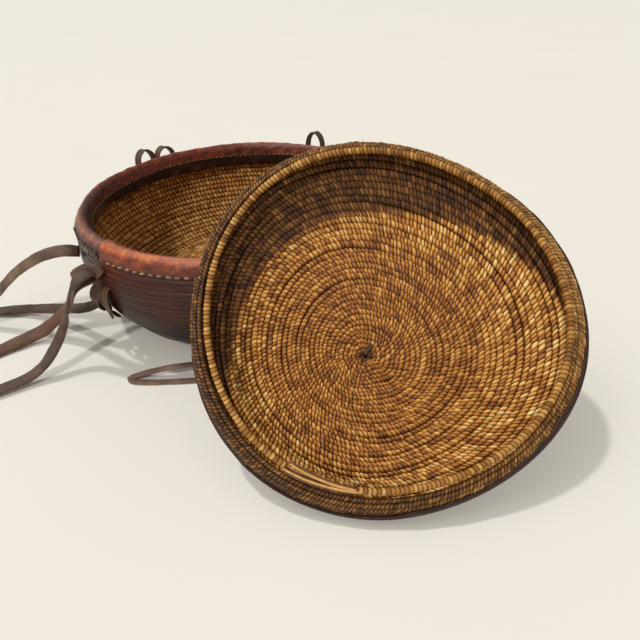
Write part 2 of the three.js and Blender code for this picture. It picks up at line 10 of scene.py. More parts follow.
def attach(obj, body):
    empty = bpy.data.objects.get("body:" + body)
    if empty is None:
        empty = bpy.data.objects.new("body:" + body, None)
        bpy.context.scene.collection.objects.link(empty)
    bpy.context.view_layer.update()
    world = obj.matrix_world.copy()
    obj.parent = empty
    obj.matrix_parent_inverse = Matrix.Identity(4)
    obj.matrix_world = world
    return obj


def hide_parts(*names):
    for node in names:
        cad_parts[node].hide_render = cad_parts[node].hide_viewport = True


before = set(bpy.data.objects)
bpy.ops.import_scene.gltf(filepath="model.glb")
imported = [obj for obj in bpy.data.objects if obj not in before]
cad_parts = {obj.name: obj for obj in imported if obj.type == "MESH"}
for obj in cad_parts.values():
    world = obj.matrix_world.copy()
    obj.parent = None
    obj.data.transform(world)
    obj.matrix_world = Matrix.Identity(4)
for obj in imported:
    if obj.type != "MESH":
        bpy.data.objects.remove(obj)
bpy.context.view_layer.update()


# Studio. A pale matt floor, two far lamps that cast the shadows, high at the back left and at the
# front left, a weak wide one at the left, an even sky, and the camera where the photograph was taken.
CAMERA_PLACE = (0.0697, -0.4274, 0.257)
CAMERA_DOWN = 36.5
CAMERA_ROLL = -1.5
CAMERA_LENS = 25.875
FLOOR_SIZE = 30
FLOOR_COLOUR = (0.83, 0.79, 0.70, 1)
FLOOR_SPOT_COLOUR = (0.80, 0.76, 0.67, 1)
FLOOR_SPOT_SCALE = 3.0
FLOOR_ROUGHNESS = 0.75
SKY_COLOUR = (0.97, 0.95, 0.93, 1)
SKY_STRENGTH = 0.42
# Each lamp's direction from the object, its spread in degrees and its strength.
LAMPS = {
    "key": ((-0.40, 0.22, 1.0), 3.5, 1.0),
    "side": ((-0.85, 0.0, 1.0), 40, 0.5),
    "front": ((-0.45, -0.85, 1.0), 5, 1.2),
}

camera = bpy.data.objects.new("camera", bpy.data.cameras.new("camera"))
camera.data.lens = CAMERA_LENS
camera.location = CAMERA_PLACE
camera_turn = Matrix.Rotation(math.radians(90 - CAMERA_DOWN), 3, "X")
camera_turn = camera_turn @ Matrix.Rotation(math.radians(CAMERA_ROLL), 3, "Z")
camera.rotation_euler = camera_turn.to_euler()
bpy.context.scene.collection.objects.link(camera)
bpy.context.scene.camera = camera
bpy.context.scene.view_settings.view_transform = "Standard"

world = bpy.data.worlds.new("room")
world.use_nodes = True
sky = world.node_tree.nodes["Background"]
sky.inputs["Color"].default_value = SKY_COLOUR
sky.inputs["Strength"].default_value = SKY_STRENGTH
bpy.context.scene.world = world

for lamp_name, (side, spread, power) in LAMPS.items():
    lamp = bpy.data.lights.new(lamp_name, "SUN")
    lamp.angle = math.radians(spread)
    lamp.energy = power
    holder = bpy.data.objects.new(lamp_name, lamp)
    holder.rotation_euler = Vector(side).to_track_quat("Z", "Y").to_euler()
    bpy.context.scene.collection.objects.link(holder)


class Wire:
    """One value in a material. Its operators add Math nodes."""

    def __init__(self, finish, socket):
        self.finish = finish
        self.socket = socket

    def maths(self, operation, *values):
        return self.finish.add("ShaderNodeMath", {"operation": operation}, dict(enumerate(values)))

    def __add__(self, other):
        return self.maths("ADD", self, other)

    def __sub__(self, other):
        return self.maths("SUBTRACT", self, other)

    def __rsub__(self, other):
        return self.maths("SUBTRACT", other, self)

    def __mul__(self, other):
        return self.maths("MULTIPLY", self, other)

    def __pow__(self, other):
        return self.maths("POWER", self, other)

    __radd__ = __add__
    __rmul__ = __mul__


def linear(colour):
    """A colour written as in a paint chart, #rrggbb, as the shader's own numbers."""
    parts = [int(colour[i:i + 2], 16) / 255 for i in (1, 3, 5)]
    return (*[p / 12.92 if p < 0.04045 else ((p + 0.055) / 1.055) ** 2.4 for p in parts], 1)


class Finish:
    """A material whose nodes are added one by one and end in its surface shader."""

    def __init__(self, name):
        self.material = bpy.data.materials.new(name)
        self.material.use_nodes = True
        self.nodes = self.material.node_tree.nodes
        self.shader = self.nodes["Principled BSDF"]

    def put(self, node, values):
        for key, value in values.items():
            if isinstance(value, Wire):
                self.material.node_tree.links.new(value.socket, node.inputs[key])
            else:
                node.inputs[key].default_value = value

    def add(self, kind, settings, values, output=0):
        node = self.nodes.new(kind)
        for key, value in settings.items():
            if key == "stops":
                while len(node.color_ramp.elements) < len(value):
                    node.color_ramp.elements.new(1)
                for stop, (place, colour) in zip(node.color_ramp.elements, value):
                    stop.position = place
                    stop.color = linear(colour)
            else:
                setattr(node, key, value)
        self.put(node, values)
        return Wire(self, node.outputs[output])

    def ramp(self, value, stops):
        return self.add("ShaderNodeValToRGB", {"stops": stops}, {"Fac": value})

    def blend(self, factor, first, second, way="MIX"):
        return self.add(
            "ShaderNodeMix", {"data_type": "RGBA", "blend_type": way}, {0: factor, 6: first, 7: second}, 2
        )

    def place(self):
        return self.add("ShaderNodeTexCoord", {}, {}, "Object")

    def noise(self, vector, scale, detail=3, rough=0.55):
        return self.add(
            "ShaderNodeTexNoise", {},
            {"Vector": vector, "Scale": scale, "Detail": detail, "Roughness": rough},
        )

    def parts(self, attribute):
        source = self.add("ShaderNodeAttribute", {"attribute_name": attribute}, {}, "Vector")
        split = self.add("ShaderNodeSeparateXYZ", {}, {"Vector": source})
        return [Wire(self, socket) for socket in split.socket.node.outputs]

    def stretched(self, x, y, z):
        return self.add("ShaderNodeCombineXYZ", {}, {"X": x, "Y": y, "Z": z})

    def spread(self, value, low, high):
        """The value from low to high, laid out from 0 to 1 and held there."""
        return self.add(
            "ShaderNodeMapRange", {"clamp": True}, {"Value": value, "From Min": low, "From Max": high}
        )

    def bump(self, height, distance, strength=1):
        return self.add(
            "ShaderNodeBump", {}, {"Height": height, "Distance": distance, "Strength": strength}
        )

    def surface(self, colour, rough, **others):
        self.put(self.shader, {"Base Color": colour, "Roughness": rough, **others})
        return self


floor_finish = Finish("floor_paper")
floor_spots = floor_finish.noise(floor_finish.place(), FLOOR_SPOT_SCALE, 2)
floor_finish.surface(floor_finish.blend(floor_spots, FLOOR_SPOT_COLOUR, FLOOR_COLOUR), FLOOR_ROUGHNESS)
bpy.ops.mesh.primitive_plane_add(size=FLOOR_SIZE, location=(0, 0, 0))
floor = bpy.context.object
floor.name = "floor"
floor.data.materials.append(floor_finish.material)


# Base bowl. One long coil of grass bound with split straw, spiralling out from the middle of the
# floor and up the wall. Only its inside shows, for leather covers the rest.
FOOT_RADIUS = 0.100
BULGE_RADIUS = 0.1525
BULGE_HEIGHT = 0.072012
SHOULDER_HEIGHT = 0.094
SHOULDER_DRAW_IN = 0.0065
BAND_FOOT = 0.088
COIL_WALL = 0.0045
LEATHER = 0.002
GAP = 0.0003
BASE_LOBES = ((2, 0.0012, 0.6), (3, 0.0008, 2.1))
BASE_PITCH = 0.0042
BASE_COIL_PITCH = 0.0055
BASE_COIL_THICK = 0.0052
BASE_STITCH = 0.0045
BASE_SLANT = 0.3
BASE_BEAD = 0.95
BOWL_STEPS = 90
SHOULDER_STEPS = 30
FLOOR_STEPS = 60


def add_mesh(name, points, faces, finish, body, tones=None):
    """A smooth piece from points and faces, its faces turned outward, riding on a body."""
    points = np.asarray(points, dtype=float).reshape(-1, 3)
    faces = [np.asarray(group) for group in faces]
    volume = 0
    for group in faces:
        corners = points[group]
        for i in range(1, group.shape[1] - 1):
            cross = np.cross(corners[:, i], corners[:, i + 1])
            volume += np.einsum("ij,ij->", corners[:, 0] - points.mean(0), cross)
    if volume < 0:
        faces = [group[:, ::-1] for group in faces]
    mesh = bpy.data.meshes.new(name)
    mesh.from_pydata(points.tolist(), [], [face for group in faces for face in group.tolist()])
    mesh.shade_smooth()
    mesh.materials.append(finish.material)
    for key, values in (tones or {}).items():
        layer = mesh.attributes.new(key, "FLOAT_VECTOR", "POINT")
        layer.data.foreach_set("vector", np.asarray(values, dtype=np.float32).ravel())
    piece = bpy.data.objects.new(name, mesh)
    bpy.context.scene.collection.objects.link(piece)
    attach(piece, body)
    return piece


def grid_faces(rows, columns, closed_rows=False, closed_columns=True):
    """Quads between rows of points, with caps where a tube of closed columns is left open."""
    down = np.arange(rows if closed_rows else rows - 1)
    over = np.arange(columns if closed_columns else columns - 1)
    i, k = np.meshgrid(down, over, indexing="ij")
    below = (i + 1) % rows
    beside = (k + 1) % columns
    upper, lower = i * columns, below * columns
    quads = np.stack([upper + k, upper + beside, lower + beside, lower + k], -1)
    faces = [quads.reshape(-1, 4)]
    if closed_columns and not closed_rows:
        ring = np.arange(columns)
        faces.append(np.stack([ring[::-1], (rows - 1) * columns + ring]))
    return faces


def unit(vectors):
    return vectors / np.linalg.norm(vectors, axis=-1, keepdims=True)


def base_curve(inset, lowest=0.0):
    """Outline of the base from the middle of its floor up to the shoulder, moved inward."""
    turn = np.linspace(lowest, 1, BOWL_STEPS) * np.pi / 2
    wide = BULGE_RADIUS - FOOT_RADIUS
    bowl = np.stack([FOOT_RADIUS + wide * np.sin(turn), BULGE_HEIGHT * (1 - np.cos(turn))], 1)
    out = unit(np.stack([np.sin(turn) / wide, -np.cos(turn) / BULGE_HEIGHT], 1))
    high = SHOULDER_HEIGHT - BULGE_HEIGHT
    rise = np.linspace(0, 1, SHOULDER_STEPS)[1:]
    shoulder = np.stack([BULGE_RADIUS - SHOULDER_DRAW_IN * rise ** 2, BULGE_HEIGHT + high * rise], 1)
    up = unit(np.stack([np.ones_like(rise), 2 * SHOULDER_DRAW_IN * rise / high], 1))
    return np.vstack([bowl - inset * out, shoulder - inset * up])


def out_of_round(points, lobes, full):
    x, y, z = np.moveaxis(points, -1, 0)
    angle = np.arctan2(y, x)
    share = np.hypot(x, y) / full
    swell = sum(size * share * np.cos(count * (angle - turn)) for count, size, turn in lobes)
    return np.stack([x + swell * np.cos(angle), y + swell * np.sin(angle), z], -1)


def warp_base(points):
    return out_of_round(points, BASE_LOBES, BULGE_RADIUS)


class Outline:
    """A line of radius and height that a wall follows, with its distance, direction and outward side."""

    def __init__(self, points):
        self.points = np.asarray(points, dtype=float)
        steps = np.linalg.norm(np.diff(self.points, axis=0), axis=1)
        self.run = np.concatenate([[0], np.cumsum(steps)])
        self.way = unit(np.gradient(self.points, self.run, axis=0))

    def at(self, distance):
        parts = [np.interp(distance, self.run, column) for column in (*self.points.T, *self.way.T)]
        radius, height, out, up = parts
        return radius, height, out, up, up, -out


def waves(around, along, seed, turns, length, count=16):
    """Smooth unevenness of about unit size: waves that are whole round the ring."""
    rng = np.random.default_rng(seed)
    total = 0
    for _ in range(count):
        lobes = rng.integers(0, turns + 1)
        lean = rng.uniform(-1, 1) * 2 * np.pi / length
        total = total + np.cos(lobes * around + lean * along + rng.uniform(0, 2 * np.pi))
    return total / math.sqrt(count / 2)


INSIDE_SECTION = np.radians([-98, -62, -22, 22, 62, 98, 150, -150])
ROUND_SECTION = np.radians(np.arange(9) * 40.0)
STITCH_SHARES = np.array([0, 0.15, 0.32, 0.50, 0.68, 0.85])
STITCH_SWELL = np.array([0.40, 0.84, 0.98, 1.0, 0.97, 0.80])
GAP_SWELL = 0.4
COURSE_OVERLAP = 1.10
COIL_SAMPLES = 720
REACH_STEPS = 3000
STITCH_SLIP = 0.2
RUN_STITCHES = 4
RUN_SHARE = 0.35
SWELL_SPREAD = 0.09
TILT_SPREAD = 0.12
PULL_SPREAD = 0.2
BEAD_SIDE_SHARE = 0.12


def wound(outline, pitch):
    """How many courses of the coil lie within each distance along an outline."""
    reach = np.linspace(0, outline.run[-1], REACH_STEPS)
    middle = (reach[1:] + reach[:-1]) / 2
    return reach, np.concatenate([[0], np.cumsum(np.diff(reach) / pitch(middle))])


def coil_mesh(outline, first, last, pitch, stitch, thick, section, seed, ripple, slant, bead):
    """The bound coil between two distances along an outline, one bead for every stitch.

    It gives the points, their tones (stitch tone, crest, place in the stitch) and how they lie
    (place round the coil, distance along the outline, turn)."""
    rng = np.random.default_rng(seed)
    reach, courses = wound(outline, pitch)
    start, end = np.interp([first, last], reach, courses)
    turns = np.linspace(start, end, int((end - start) * COIL_SAMPLES) + 2) * 2 * np.pi
    distances = np.interp(turns / (2 * np.pi), courses, reach)
    pace = np.hypot(outline.at(distances)[0], np.gradient(distances, turns))
    run = np.concatenate([[0], np.cumsum((pace[1:] + pace[:-1]) / 2 * np.diff(turns))])
    count = int(run[-1] / stitch)
    ends = np.arange(count + 1) + rng.uniform(-STITCH_SLIP, STITCH_SLIP, count + 1)
    share = np.tile(STITCH_SHARES, count)
    which = np.repeat(np.arange(count), len(STITCH_SHARES))
    place = (ends[which] + (ends[which + 1] - ends[which]) * share) * stitch
    tone = rng.uniform(0, 1, count)
    shared = np.repeat(rng.uniform(0, 1, count // RUN_STITCHES + 1), RUN_STITCHES)[:count]
    tone = (1 - RUN_SHARE) * tone + RUN_SHARE * shared
    swell = np.tile(STITCH_SWELL, count) * rng.normal(1, SWELL_SPREAD, count)[which]
    tilt = rng.normal(0, TILT_SPREAD, count)[which]
    pull = slant * (1 + rng.normal(0, PULL_SPREAD, count))[which]
    half = thick / 2
    across = np.sin(section)[None]
    beside = np.interp(place, run, distances)
    wide_half = pitch(beside)[:, None] / 2 * COURSE_OVERLAP
    turn = np.interp(place[:, None] + pull[:, None] * wide_half * across, run, turns)
    distance = np.interp(turn / (2 * np.pi), courses, reach)
    radius, height, along_r, along_z, out_r, out_z = outline.at(distance)
    facing = np.sign(np.cos(section)) * np.abs(np.cos(section)) ** bead
    side = wide_half * across * (1 - BEAD_SIDE_SHARE + BEAD_SIDE_SHARE * swell[:, None])
    up = -half * facing[None] * swell[:, None] * (1 + tilt[:, None] * across) + ripple(turn, distance)
    wide = radius + side * along_r + up * out_r
    tall = height + side * along_z + up * out_z
    points = np.stack([wide * np.cos(turn), wide * np.sin(turn), tall], -1)
    along = np.tile(np.clip((STITCH_SWELL - GAP_SWELL) / (1 - GAP_SWELL), 0, 1), count)[:, None]
    crest = np.clip(np.abs(facing) if section is ROUND_SECTION else facing, 0, 1)[None] * along
    tones = np.stack(np.broadcast_arrays(tone[which][:, None], crest, (which + share)[:, None]), -1)
    lie = np.stack(np.broadcast_arrays(section[None] / np.pi, distance, turn), -1)
    return points, tones.reshape(-1, 3), lie.reshape(-1, 3)


def add_coil(name, mesh, warp, finish, body):
    points, tones, lie = mesh
    faces = grid_faces(*points.shape[:2])
    return add_mesh(name, warp(points), faces, finish, body, {"weave": tones, "lie": lie})


STRAW_GLOSS = 0.28
STRAW_STOPS = (0.1, 0.32, 0.52, 0.70, 0.92)
FULL_CREST = 0.82
STRAND_DEEP = 0.0006


def straw_finish(name, tones, crevice, dusk):
    """Bound straw: each stitch has a tone of its own and fine strands across the coil."""
    finish = Finish(name)
    tone, crest, strand = finish.parts("weave")
    over, distance, turn = finish.parts("lie")
    place = finish.place()
    strands = finish.noise(finish.stretched(strand * 7, over * 1.3, tone * 31), 1.0, 2)
    patches = finish.noise(place, 17, 3, 0.6)
    rows = finish.noise(finish.stretched(distance * 330, turn * 0.35, 0.0), 1.0, 2)
    # Bead crests are painted lighter, a painted highlight, and the gaps between beads blend towards the
    # crevice colour: painted shade, with dirt in the gaps.
    lit = crest ** 2.5
    mix = tone * 0.50 + strands * 0.42 + patches * 0.18 + rows * 0.22 + lit * 0.26 - 0.33
    colour = finish.ramp(mix, list(zip(STRAW_STOPS, tones)))
    shade = finish.spread(crest, dusk, FULL_CREST)
    return finish.surface(
        finish.blend(shade, linear(crevice), colour), 0.62 - finish.spread(strands, 0.3, 0.75) * 0.24,
        Normal=finish.bump(strands, STRAND_DEEP, 0.5), **{"Specular IOR Level": STRAW_GLOSS},
    )


STRAW_TONES = ("#704118", "#a2692f", "#c88e48", "#e0b067", "#f4d89c")
straw = straw_finish("base_bound_straw", STRAW_TONES, "#2a1607", -0.1)

COIL_INSET = LEATHER + GAP + COIL_WALL / 2
floor_line = np.stack([np.linspace(0, FOOT_RADIUS, FLOOR_STEPS), np.full(FLOOR_STEPS, COIL_INSET)], 1)
base_inside = Outline(np.vstack([floor_line[:-1], base_curve(COIL_INSET)]))
# Each span's first and last distance along the outline. It laps the next by the amount below.
BASE_SPANS = {
    "base_coils_floor": (0.0015, 0.100),
    "base_coils_low": (0.100, 0.1365),
    "base_coils_middle": (0.1365, 0.172),
    "base_coils_high": (0.172, 0.2095),
}
SPAN_LAP = 0.00004
BASE_DRIFT = ((0.07, 610, 0), (0.05, 1430, 2))
BASE_RIPPLE = 0.0004
BASE_ROW_RIPPLE = 0.00028
UPPER_WALL_FROM = 0.058
UPPER_WALL_BLEND = 0.02
UPPER_WALL_SHADE = 0.30


def drifting(pitch, distance, drift):
    """A pitch that grows and shrinks along the outline, by shares, rates and shifts."""
    return pitch * (1 + sum(share * np.sin(distance * rate + shift) for share, rate, shift in drift))


def inside_pitch(distance):
    return drifting(BASE_COIL_PITCH, distance, BASE_DRIFT)


def base_ripple(turn, distance):
    slow = waves(turn, distance, 11, 7, 0.08) * BASE_RIPPLE
    rows = waves(turn * 0, distance, 12, 0, 0.012) * BASE_ROW_RIPPLE
    return slow + rows


for seed, (name, (first, last)) in enumerate(BASE_SPANS.items()):
    last = min(last + SPAN_LAP, base_inside.run[-1])
    mesh = coil_mesh(
        base_inside, first, last, inside_pitch, BASE_STITCH, BASE_COIL_THICK, INSIDE_SECTION, 20 + seed,
        base_ripple, BASE_SLANT, BASE_BEAD,
    )
    # Painted shade: the straw high on the wall is darkened towards the crevice colour below the rim.
    tall = mesh[0][..., 2].ravel()
    mesh[1][:, 1] *= 1 - UPPER_WALL_SHADE * np.clip((tall - UPPER_WALL_FROM) / UPPER_WALL_BLEND, 0, 1)
    coils = add_coil(name, mesh, warp_base, straw, "base")
    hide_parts("base_coiled_bowl")


# Leather skin of the base. Red-brown hide put on wet and shrunk over the coils, so that each shows
# through as a rib, with fine creases along the ribs and a darker, shinier lower half.
RIB_HIGH = 0.0009
SKIN_COLUMNS = 440
SKIN_STEP = 0.0007
SKIN_FOOT_SHARE = 0.06
SKIN_PLAIN_FROM = 0.098
SKIN_PLAIN_BLEND = 0.02
SKIN_PLAIN_SHARE = 0.65
SKIN_EDGE = 0.006
SKIN_SAG = 0.0006
INNER_STEP = 7


def turned_mesh(outer, inner, columns, relief, warp, turn_from=0.0, closed=True, reach=None):
    """Points of a shell turned about the upright: an outer line with relief, and a plain inner one."""
    angle = turn_from + np.linspace(0, 2 * np.pi, columns, endpoint=not closed)
    ends = [line.run[-1] + 0 * angle if reach is None else reach(line, angle) for line in (outer, inner)]
    distance = np.linspace(0, 1, int(outer.run[-1] / SKIN_STEP))[:, None] * ends[0]
    radius, height, _, _, out_r, out_z = outer.at(distance)
    bumps = relief(angle[None], distance)
    back_distance = np.linspace(1, 0, len(inner.points))[:, None] * ends[1]
    back, back_tall = inner.at(back_distance)[:2]
    wide = np.vstack([radius + bumps * out_r, back])
    tall = np.vstack([height + bumps * out_z, back_tall])
    points = np.stack([wide * np.cos(angle), wide * np.sin(angle), tall], -1)
    lie = np.stack(np.broadcast_arrays(
        angle[None], np.vstack([distance, back_distance]), np.vstack([bumps, np.zeros_like(back)])
    ), -1)
    return warp(points), lie.reshape(-1, 3)


def add_shell(name, mesh, finish, body, closed_rows=False):
    points, lie = mesh
    return add_mesh(name, points, grid_faces(*points.shape[:2], closed_rows), finish, body, {"lie": lie})


RIB_WANDER = 0.12
RIB_SHARPNESS = 0.7
RIB_USUAL = 0.75
RIB_UNEVEN = 0.35
RIB_LEAST = 0.15
RIB_MOST = 1.3
CREASE_SHARE = 0.12
DENT_SHARE = 0.22


def ribs(angle, distance, pitch, size, seed):
    """Ribs over a spiral coil, uneven in height and here and there flattened or split in two."""
    course = distance / pitch - angle / (2 * np.pi)
    course = course + RIB_WANDER * waves(angle, distance, seed, 6, 0.05)
    rib = np.abs(np.cos(np.pi * course)) ** RIB_SHARPNESS
    strong = RIB_USUAL + RIB_UNEVEN * waves(angle, distance, seed + 1, 9, 0.035)
    crease = waves(angle, distance, seed + 2, 5, 0.0016, 24) * CREASE_SHARE
    dents = waves(angle, distance, seed + 3, 14, 0.03) * DENT_SHARE
    return size * (rib * np.clip(strong, RIB_LEAST, RIB_MOST) + crease + dents)


HIDE_GLOSS = 0.30
HIDE_DEEP = 0.0007
RIB_SHEEN_FROM = -0.0002
RIB_SHEEN_TO = 0.00085


def hide_finish(name, low, middle, high, glow, ribbed, rough):
    """Aged hide with mottling and fine creases, paler on the rib tops as painted sheen and darker in the
    furrows as painted shade.
    """
    finish = Finish(name)
    angle, distance, relief = finish.parts("lie")
    place = finish.place()
    mottle = finish.noise(place, 28, 4, 0.62)
    fine = finish.noise(place, 420, 4, 0.65)
    crease = finish.noise(finish.stretched(angle * 9, distance * 1500, 0.0), 1.0, 3)
    # Paler on the raised ribs and darker in the furrows: painted sheen and painted shade.
    lighter = finish.spread(relief, RIB_SHEEN_FROM * ribbed, RIB_SHEEN_TO * ribbed)
    mix = lighter * 0.42 + mottle * 0.5 + crease * 0.22 - 0.12
    colour = finish.ramp(mix, [(0.12, low), (0.42, middle), (0.68, high), (0.92, glow)])
    return finish.surface(
        colour, rough + finish.spread(mottle, 0.3, 0.7) * 0.16 - lighter * 0.1,
        Normal=finish.bump(fine * 0.35 + crease * 0.8, HIDE_DEEP, 0.6),
        **{"Specular IOR Level": HIDE_GLOSS},
    )


hide = hide_finish("base_ribbed_hide", "#110503", "#2c1007", "#4e1f0d", "#80462a", 1.4, 0.34)


def skin_relief(angle, distance):
    top = np.clip((distance - SKIN_PLAIN_FROM) / SKIN_PLAIN_BLEND, 0, 1)
    edge = np.clip(distance / SKIN_EDGE, 0, 1)
    size = RIB_HIGH * (1 - SKIN_PLAIN_SHARE * top) * edge
    sag = SKIN_SAG * waves(angle, distance, 37, 5, 0.09) * edge
    return ribs(angle, distance, BASE_PITCH, size, 31) + sag


skin_outer = Outline(base_curve(0, SKIN_FOOT_SHARE))
skin_inner = Outline(base_curve(LEATHER, SKIN_FOOT_SHARE)[::INNER_STEP])
shell = turned_mesh(skin_outer, skin_inner, SKIN_COLUMNS, skin_relief, warp_base)
skin = add_shell("base_skin", shell, hide, "base", closed_rows=True)
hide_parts("base_leather_wall")


# Sole. A round of the same hide under the floor, which the basket stands on. It is dimpled by use,
# and its edge is turned up and tucked against the foot of the skin.
SOLE_CUT_IN = 0.0006
SOLE_CENTRE = 0.0006
SOLE_DIMPLE = 0.00012
SOLE_SINK = 0.0001
SOLE_COLUMNS = 160
SOLE_FLAT_SHARE = 0.98
SOLE_EDGE_SHARE = 0.6
sole_radius = skin_inner.points[0, 0] - GAP


def sole_relief(angle, distance):
    return -SOLE_DIMPLE * np.abs(waves(angle, distance, 41, 8, 0.03)) - SOLE_SINK


sole_line = Outline([
    (SOLE_CENTRE, SOLE_CUT_IN), (FOOT_RADIUS * SOLE_FLAT_SHARE, SOLE_CUT_IN),
    (FOOT_RADIUS, SOLE_CUT_IN + GAP), (sole_radius, LEATHER * SOLE_EDGE_SHARE), (sole_radius, LEATHER),
])
sole_back = Outline([(SOLE_CENTRE, LEATHER), (sole_radius - GAP, LEATHER)])
shell = turned_mesh(sole_line, sole_back, SOLE_COLUMNS, sole_relief, warp_base)
sole = add_shell("base_sole", shell, hide, "base")
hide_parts("base_leather_sole")


# Rim band. One strip of thicker orange-brown hide folded over the rim and sewn down along its lower
# edge. Its ends overlap in a cut at the front left, and behind the cut it is older and greyer.
BAND_CUT = 231.2
BAND_THICK = 0.002
BAND_COLUMNS = 1064
STITCH_COUNT = 133
STITCH_LIFT = 0.0016
BAND_PROUD = 0.0031
BAND_STEP = 0.0004
BAND_INNER_STEP = 4
HOLE_WIDE = 0.0010
HOLE_TALL = 0.0009
HOLE_DEEP = 0.0007
OVERLAP_HIGH = 0.0017
OVERLAP_FADE = 9
BAND_WAVY = 0.00035
BAND_ROUGH = 0.00012
GROOVE_DEEP = 0.0004
GROOVE_TALL = 0.0014
BAND_DEEP = 0.0008
OLD_FROM = 285
OLD_BLEND = 40
OLD_SHARE = 0.9
OLD_PATCHY = 0.12
FOLD_HIGHLIGHT_MIDDLE = 0.0135
FOLD_HIGHLIGHT_WIDE = 0.0035
rim_outer = BULGE_RADIUS - SHOULDER_DRAW_IN + GAP
# Places over the rim, outward of its outer side, with their heights.
BAND_LINE = [
    (0.0030, BAND_FOOT), (BAND_PROUD, BAND_FOOT + 0.003), (0.0021, 0.0942), (0, 0.0984),
    (-0.0024, 0.1011), (-0.0045, 0.1018), (-0.0066, 0.1009), (-0.0083, 0.0982), (-0.0092, 0.0945),
    (-0.0098, 0.0912), (-0.0100, 0.0895),
]
PATH_STEPS = 24
FEWEST_STEPS = 6


def smooth_path(places, values, step):
    """Even points on a Catmull-Rom curve through the places, with the values carried along."""
    places = np.asarray(places, dtype=float)
    padded = np.vstack([2 * places[0] - places[1], places, 2 * places[-1] - places[-2]])
    points = []
    for i in range(len(places) - 1):
        a, b, c, d = padded[i:i + 4]
        t = np.linspace(0, 1, PATH_STEPS, endpoint=False)[:, None]
        points.append(0.5 * (2 * b + (c - a) * t + (2 * a - 5 * b + 4 * c - d) * t * t
                             + (3 * b - a - 3 * c + d) * t ** 3))
    points = np.vstack([*points, places[-1:]])
    share = np.arange(len(points)) / PATH_STEPS
    run = np.concatenate([[0], np.cumsum(np.linalg.norm(np.diff(points, axis=0), axis=1))])
    even = np.linspace(0, run[-1], max(FEWEST_STEPS, round(run[-1] / step)))
    path = np.stack([np.interp(even, run, points[:, k]) for k in range(3)], 1)
    where = np.interp(even, run, share)
    values = np.asarray(values, dtype=float)
    index = np.linspace(0, len(places) - 1, len(values))
    columns = values.reshape(len(values), -1).T
    carried = np.stack([np.interp(where, index, column) for column in columns], 1)
    return path, carried, even


band_path, _, _ = smooth_path([(rim_outer + out, 0, height) for out, height in BAND_LINE], [0, 0], BAND_STEP)
band_outer = Outline(band_path[:, [0, 2]])
band_parts = band_outer.at(band_outer.run[::BAND_INNER_STEP])
band_inner = Outline(np.stack(band_parts[:2], 1) - BAND_THICK * np.stack(band_parts[4:], 1))


def seam_pull(angle, distance):
    """How near a point is to the dark gaps between the stitches along the lower edge."""
    share = angle / (2 * np.pi) * STITCH_COUNT
    beside = np.abs(share - np.round(share)) * 2 * np.pi * BULGE_RADIUS / STITCH_COUNT
    return np.exp(-(beside / HOLE_WIDE) ** 2 - ((distance - STITCH_LIFT) / HOLE_TALL) ** 2)


def band_relief(angle, distance):
    from_cut = np.degrees(angle) % 360 - BAND_CUT
    from_cut = np.where(from_cut < 0, from_cut + 360, from_cut)
    over = OVERLAP_HIGH * np.exp(-from_cut / OVERLAP_FADE) * (from_cut < 180)
    wavy = BAND_WAVY * waves(angle, distance, 51, 9, 0.03)
    wavy = wavy + BAND_ROUGH * waves(angle, distance, 52, 60, 0.006)
    groove = -GROOVE_DEEP * np.exp(-((distance - STITCH_LIFT) / GROOVE_TALL) ** 2)
    return over + wavy + groove - HOLE_DEEP * seam_pull(angle, distance)


def band_finish():
    """Orange-brown hide with a painted highlight along the fold, painted shade in the stitch holes, greyer
    behind the cut.
    """
    finish = Finish("band_hide")
    angle, distance, _ = finish.parts("lie")
    old, painted_hole_shade, fold_highlight = finish.parts("wear")
    place = finish.place()
    mottle = finish.noise(place, 130, 5, 0.68)
    fine = finish.noise(place, 620, 4, 0.6)
    bright = finish.ramp(
        mottle * 0.85 + fold_highlight * 0.28 - 0.03,
        [(0.2, "#34140a"), (0.42, "#722e15"), (0.6, "#a65024"), (0.8, "#cf7a3e")],
    )
    grey = finish.ramp(
        mottle * 0.8 + fold_highlight * 0.35,
        [(0.25, "#1e1413"), (0.5, "#3f2b27"), (0.72, "#664840"), (0.9, "#8a6352")],
    )
    colour = finish.blend(old, bright, grey)
    # Near-black in the stitch holes: painted shade.
    return finish.surface(
        finish.blend(painted_hole_shade, colour, linear("#0b0604")), 0.36 + finish.spread(mottle, 0.3, 0.7) * 0.2,
        Normal=finish.bump(mottle * 0.6 + fine * 0.4, BAND_DEEP, 0.6),
    )


cut = math.radians(BAND_CUT)
points, lie = turned_mesh(
    band_outer, band_inner, BAND_COLUMNS, band_relief, warp_base, cut, closed=False
)
angle, distance = lie[:, 0], lie[:, 1]
behind = np.degrees(angle) - BAND_CUT
old = np.clip((behind - OLD_FROM) / OLD_BLEND, 0, 1) * OLD_SHARE
old = old + OLD_PATCHY * waves(angle, distance, 53, 6, 0.03)
# A painted highlight along the upper outer face of the fold.
fold_highlight = np.exp(-((distance - FOLD_HIGHLIGHT_MIDDLE) / FOLD_HIGHLIGHT_WIDE) ** 2)
wear = np.stack([np.clip(old, 0, 1), np.clip(seam_pull(angle, distance), 0, 1), fold_highlight], -1)
rows, columns = points.shape[:2]
band_points = points.transpose(1, 0, 2)
swap = np.arange(rows * columns).reshape(rows, columns).T.ravel()
band = add_mesh(
    "base_band", band_points, grid_faces(columns, rows), band_finish(), "base",
    {"lie": lie[swap], "wear": wear[swap]},
)
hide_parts("base_rim_band")


# Seam thread. Cream two-ply thread whipped over the band's lower edge, one long stitch for each
# hole, and a loose net of grey thread where the overlap was mended.
STITCH_LONG = 0.0052
STITCH_WIDE = 0.0019
STITCH_TILT = 9
STITCH_SINK = 0.0012
STITCH_PROUD = 0.0002
STITCH_WANDER = 0.0003
STITCH_POINTS = 9
STITCH_TAPER = 0.75
TWIST_DEEP = 0.0003


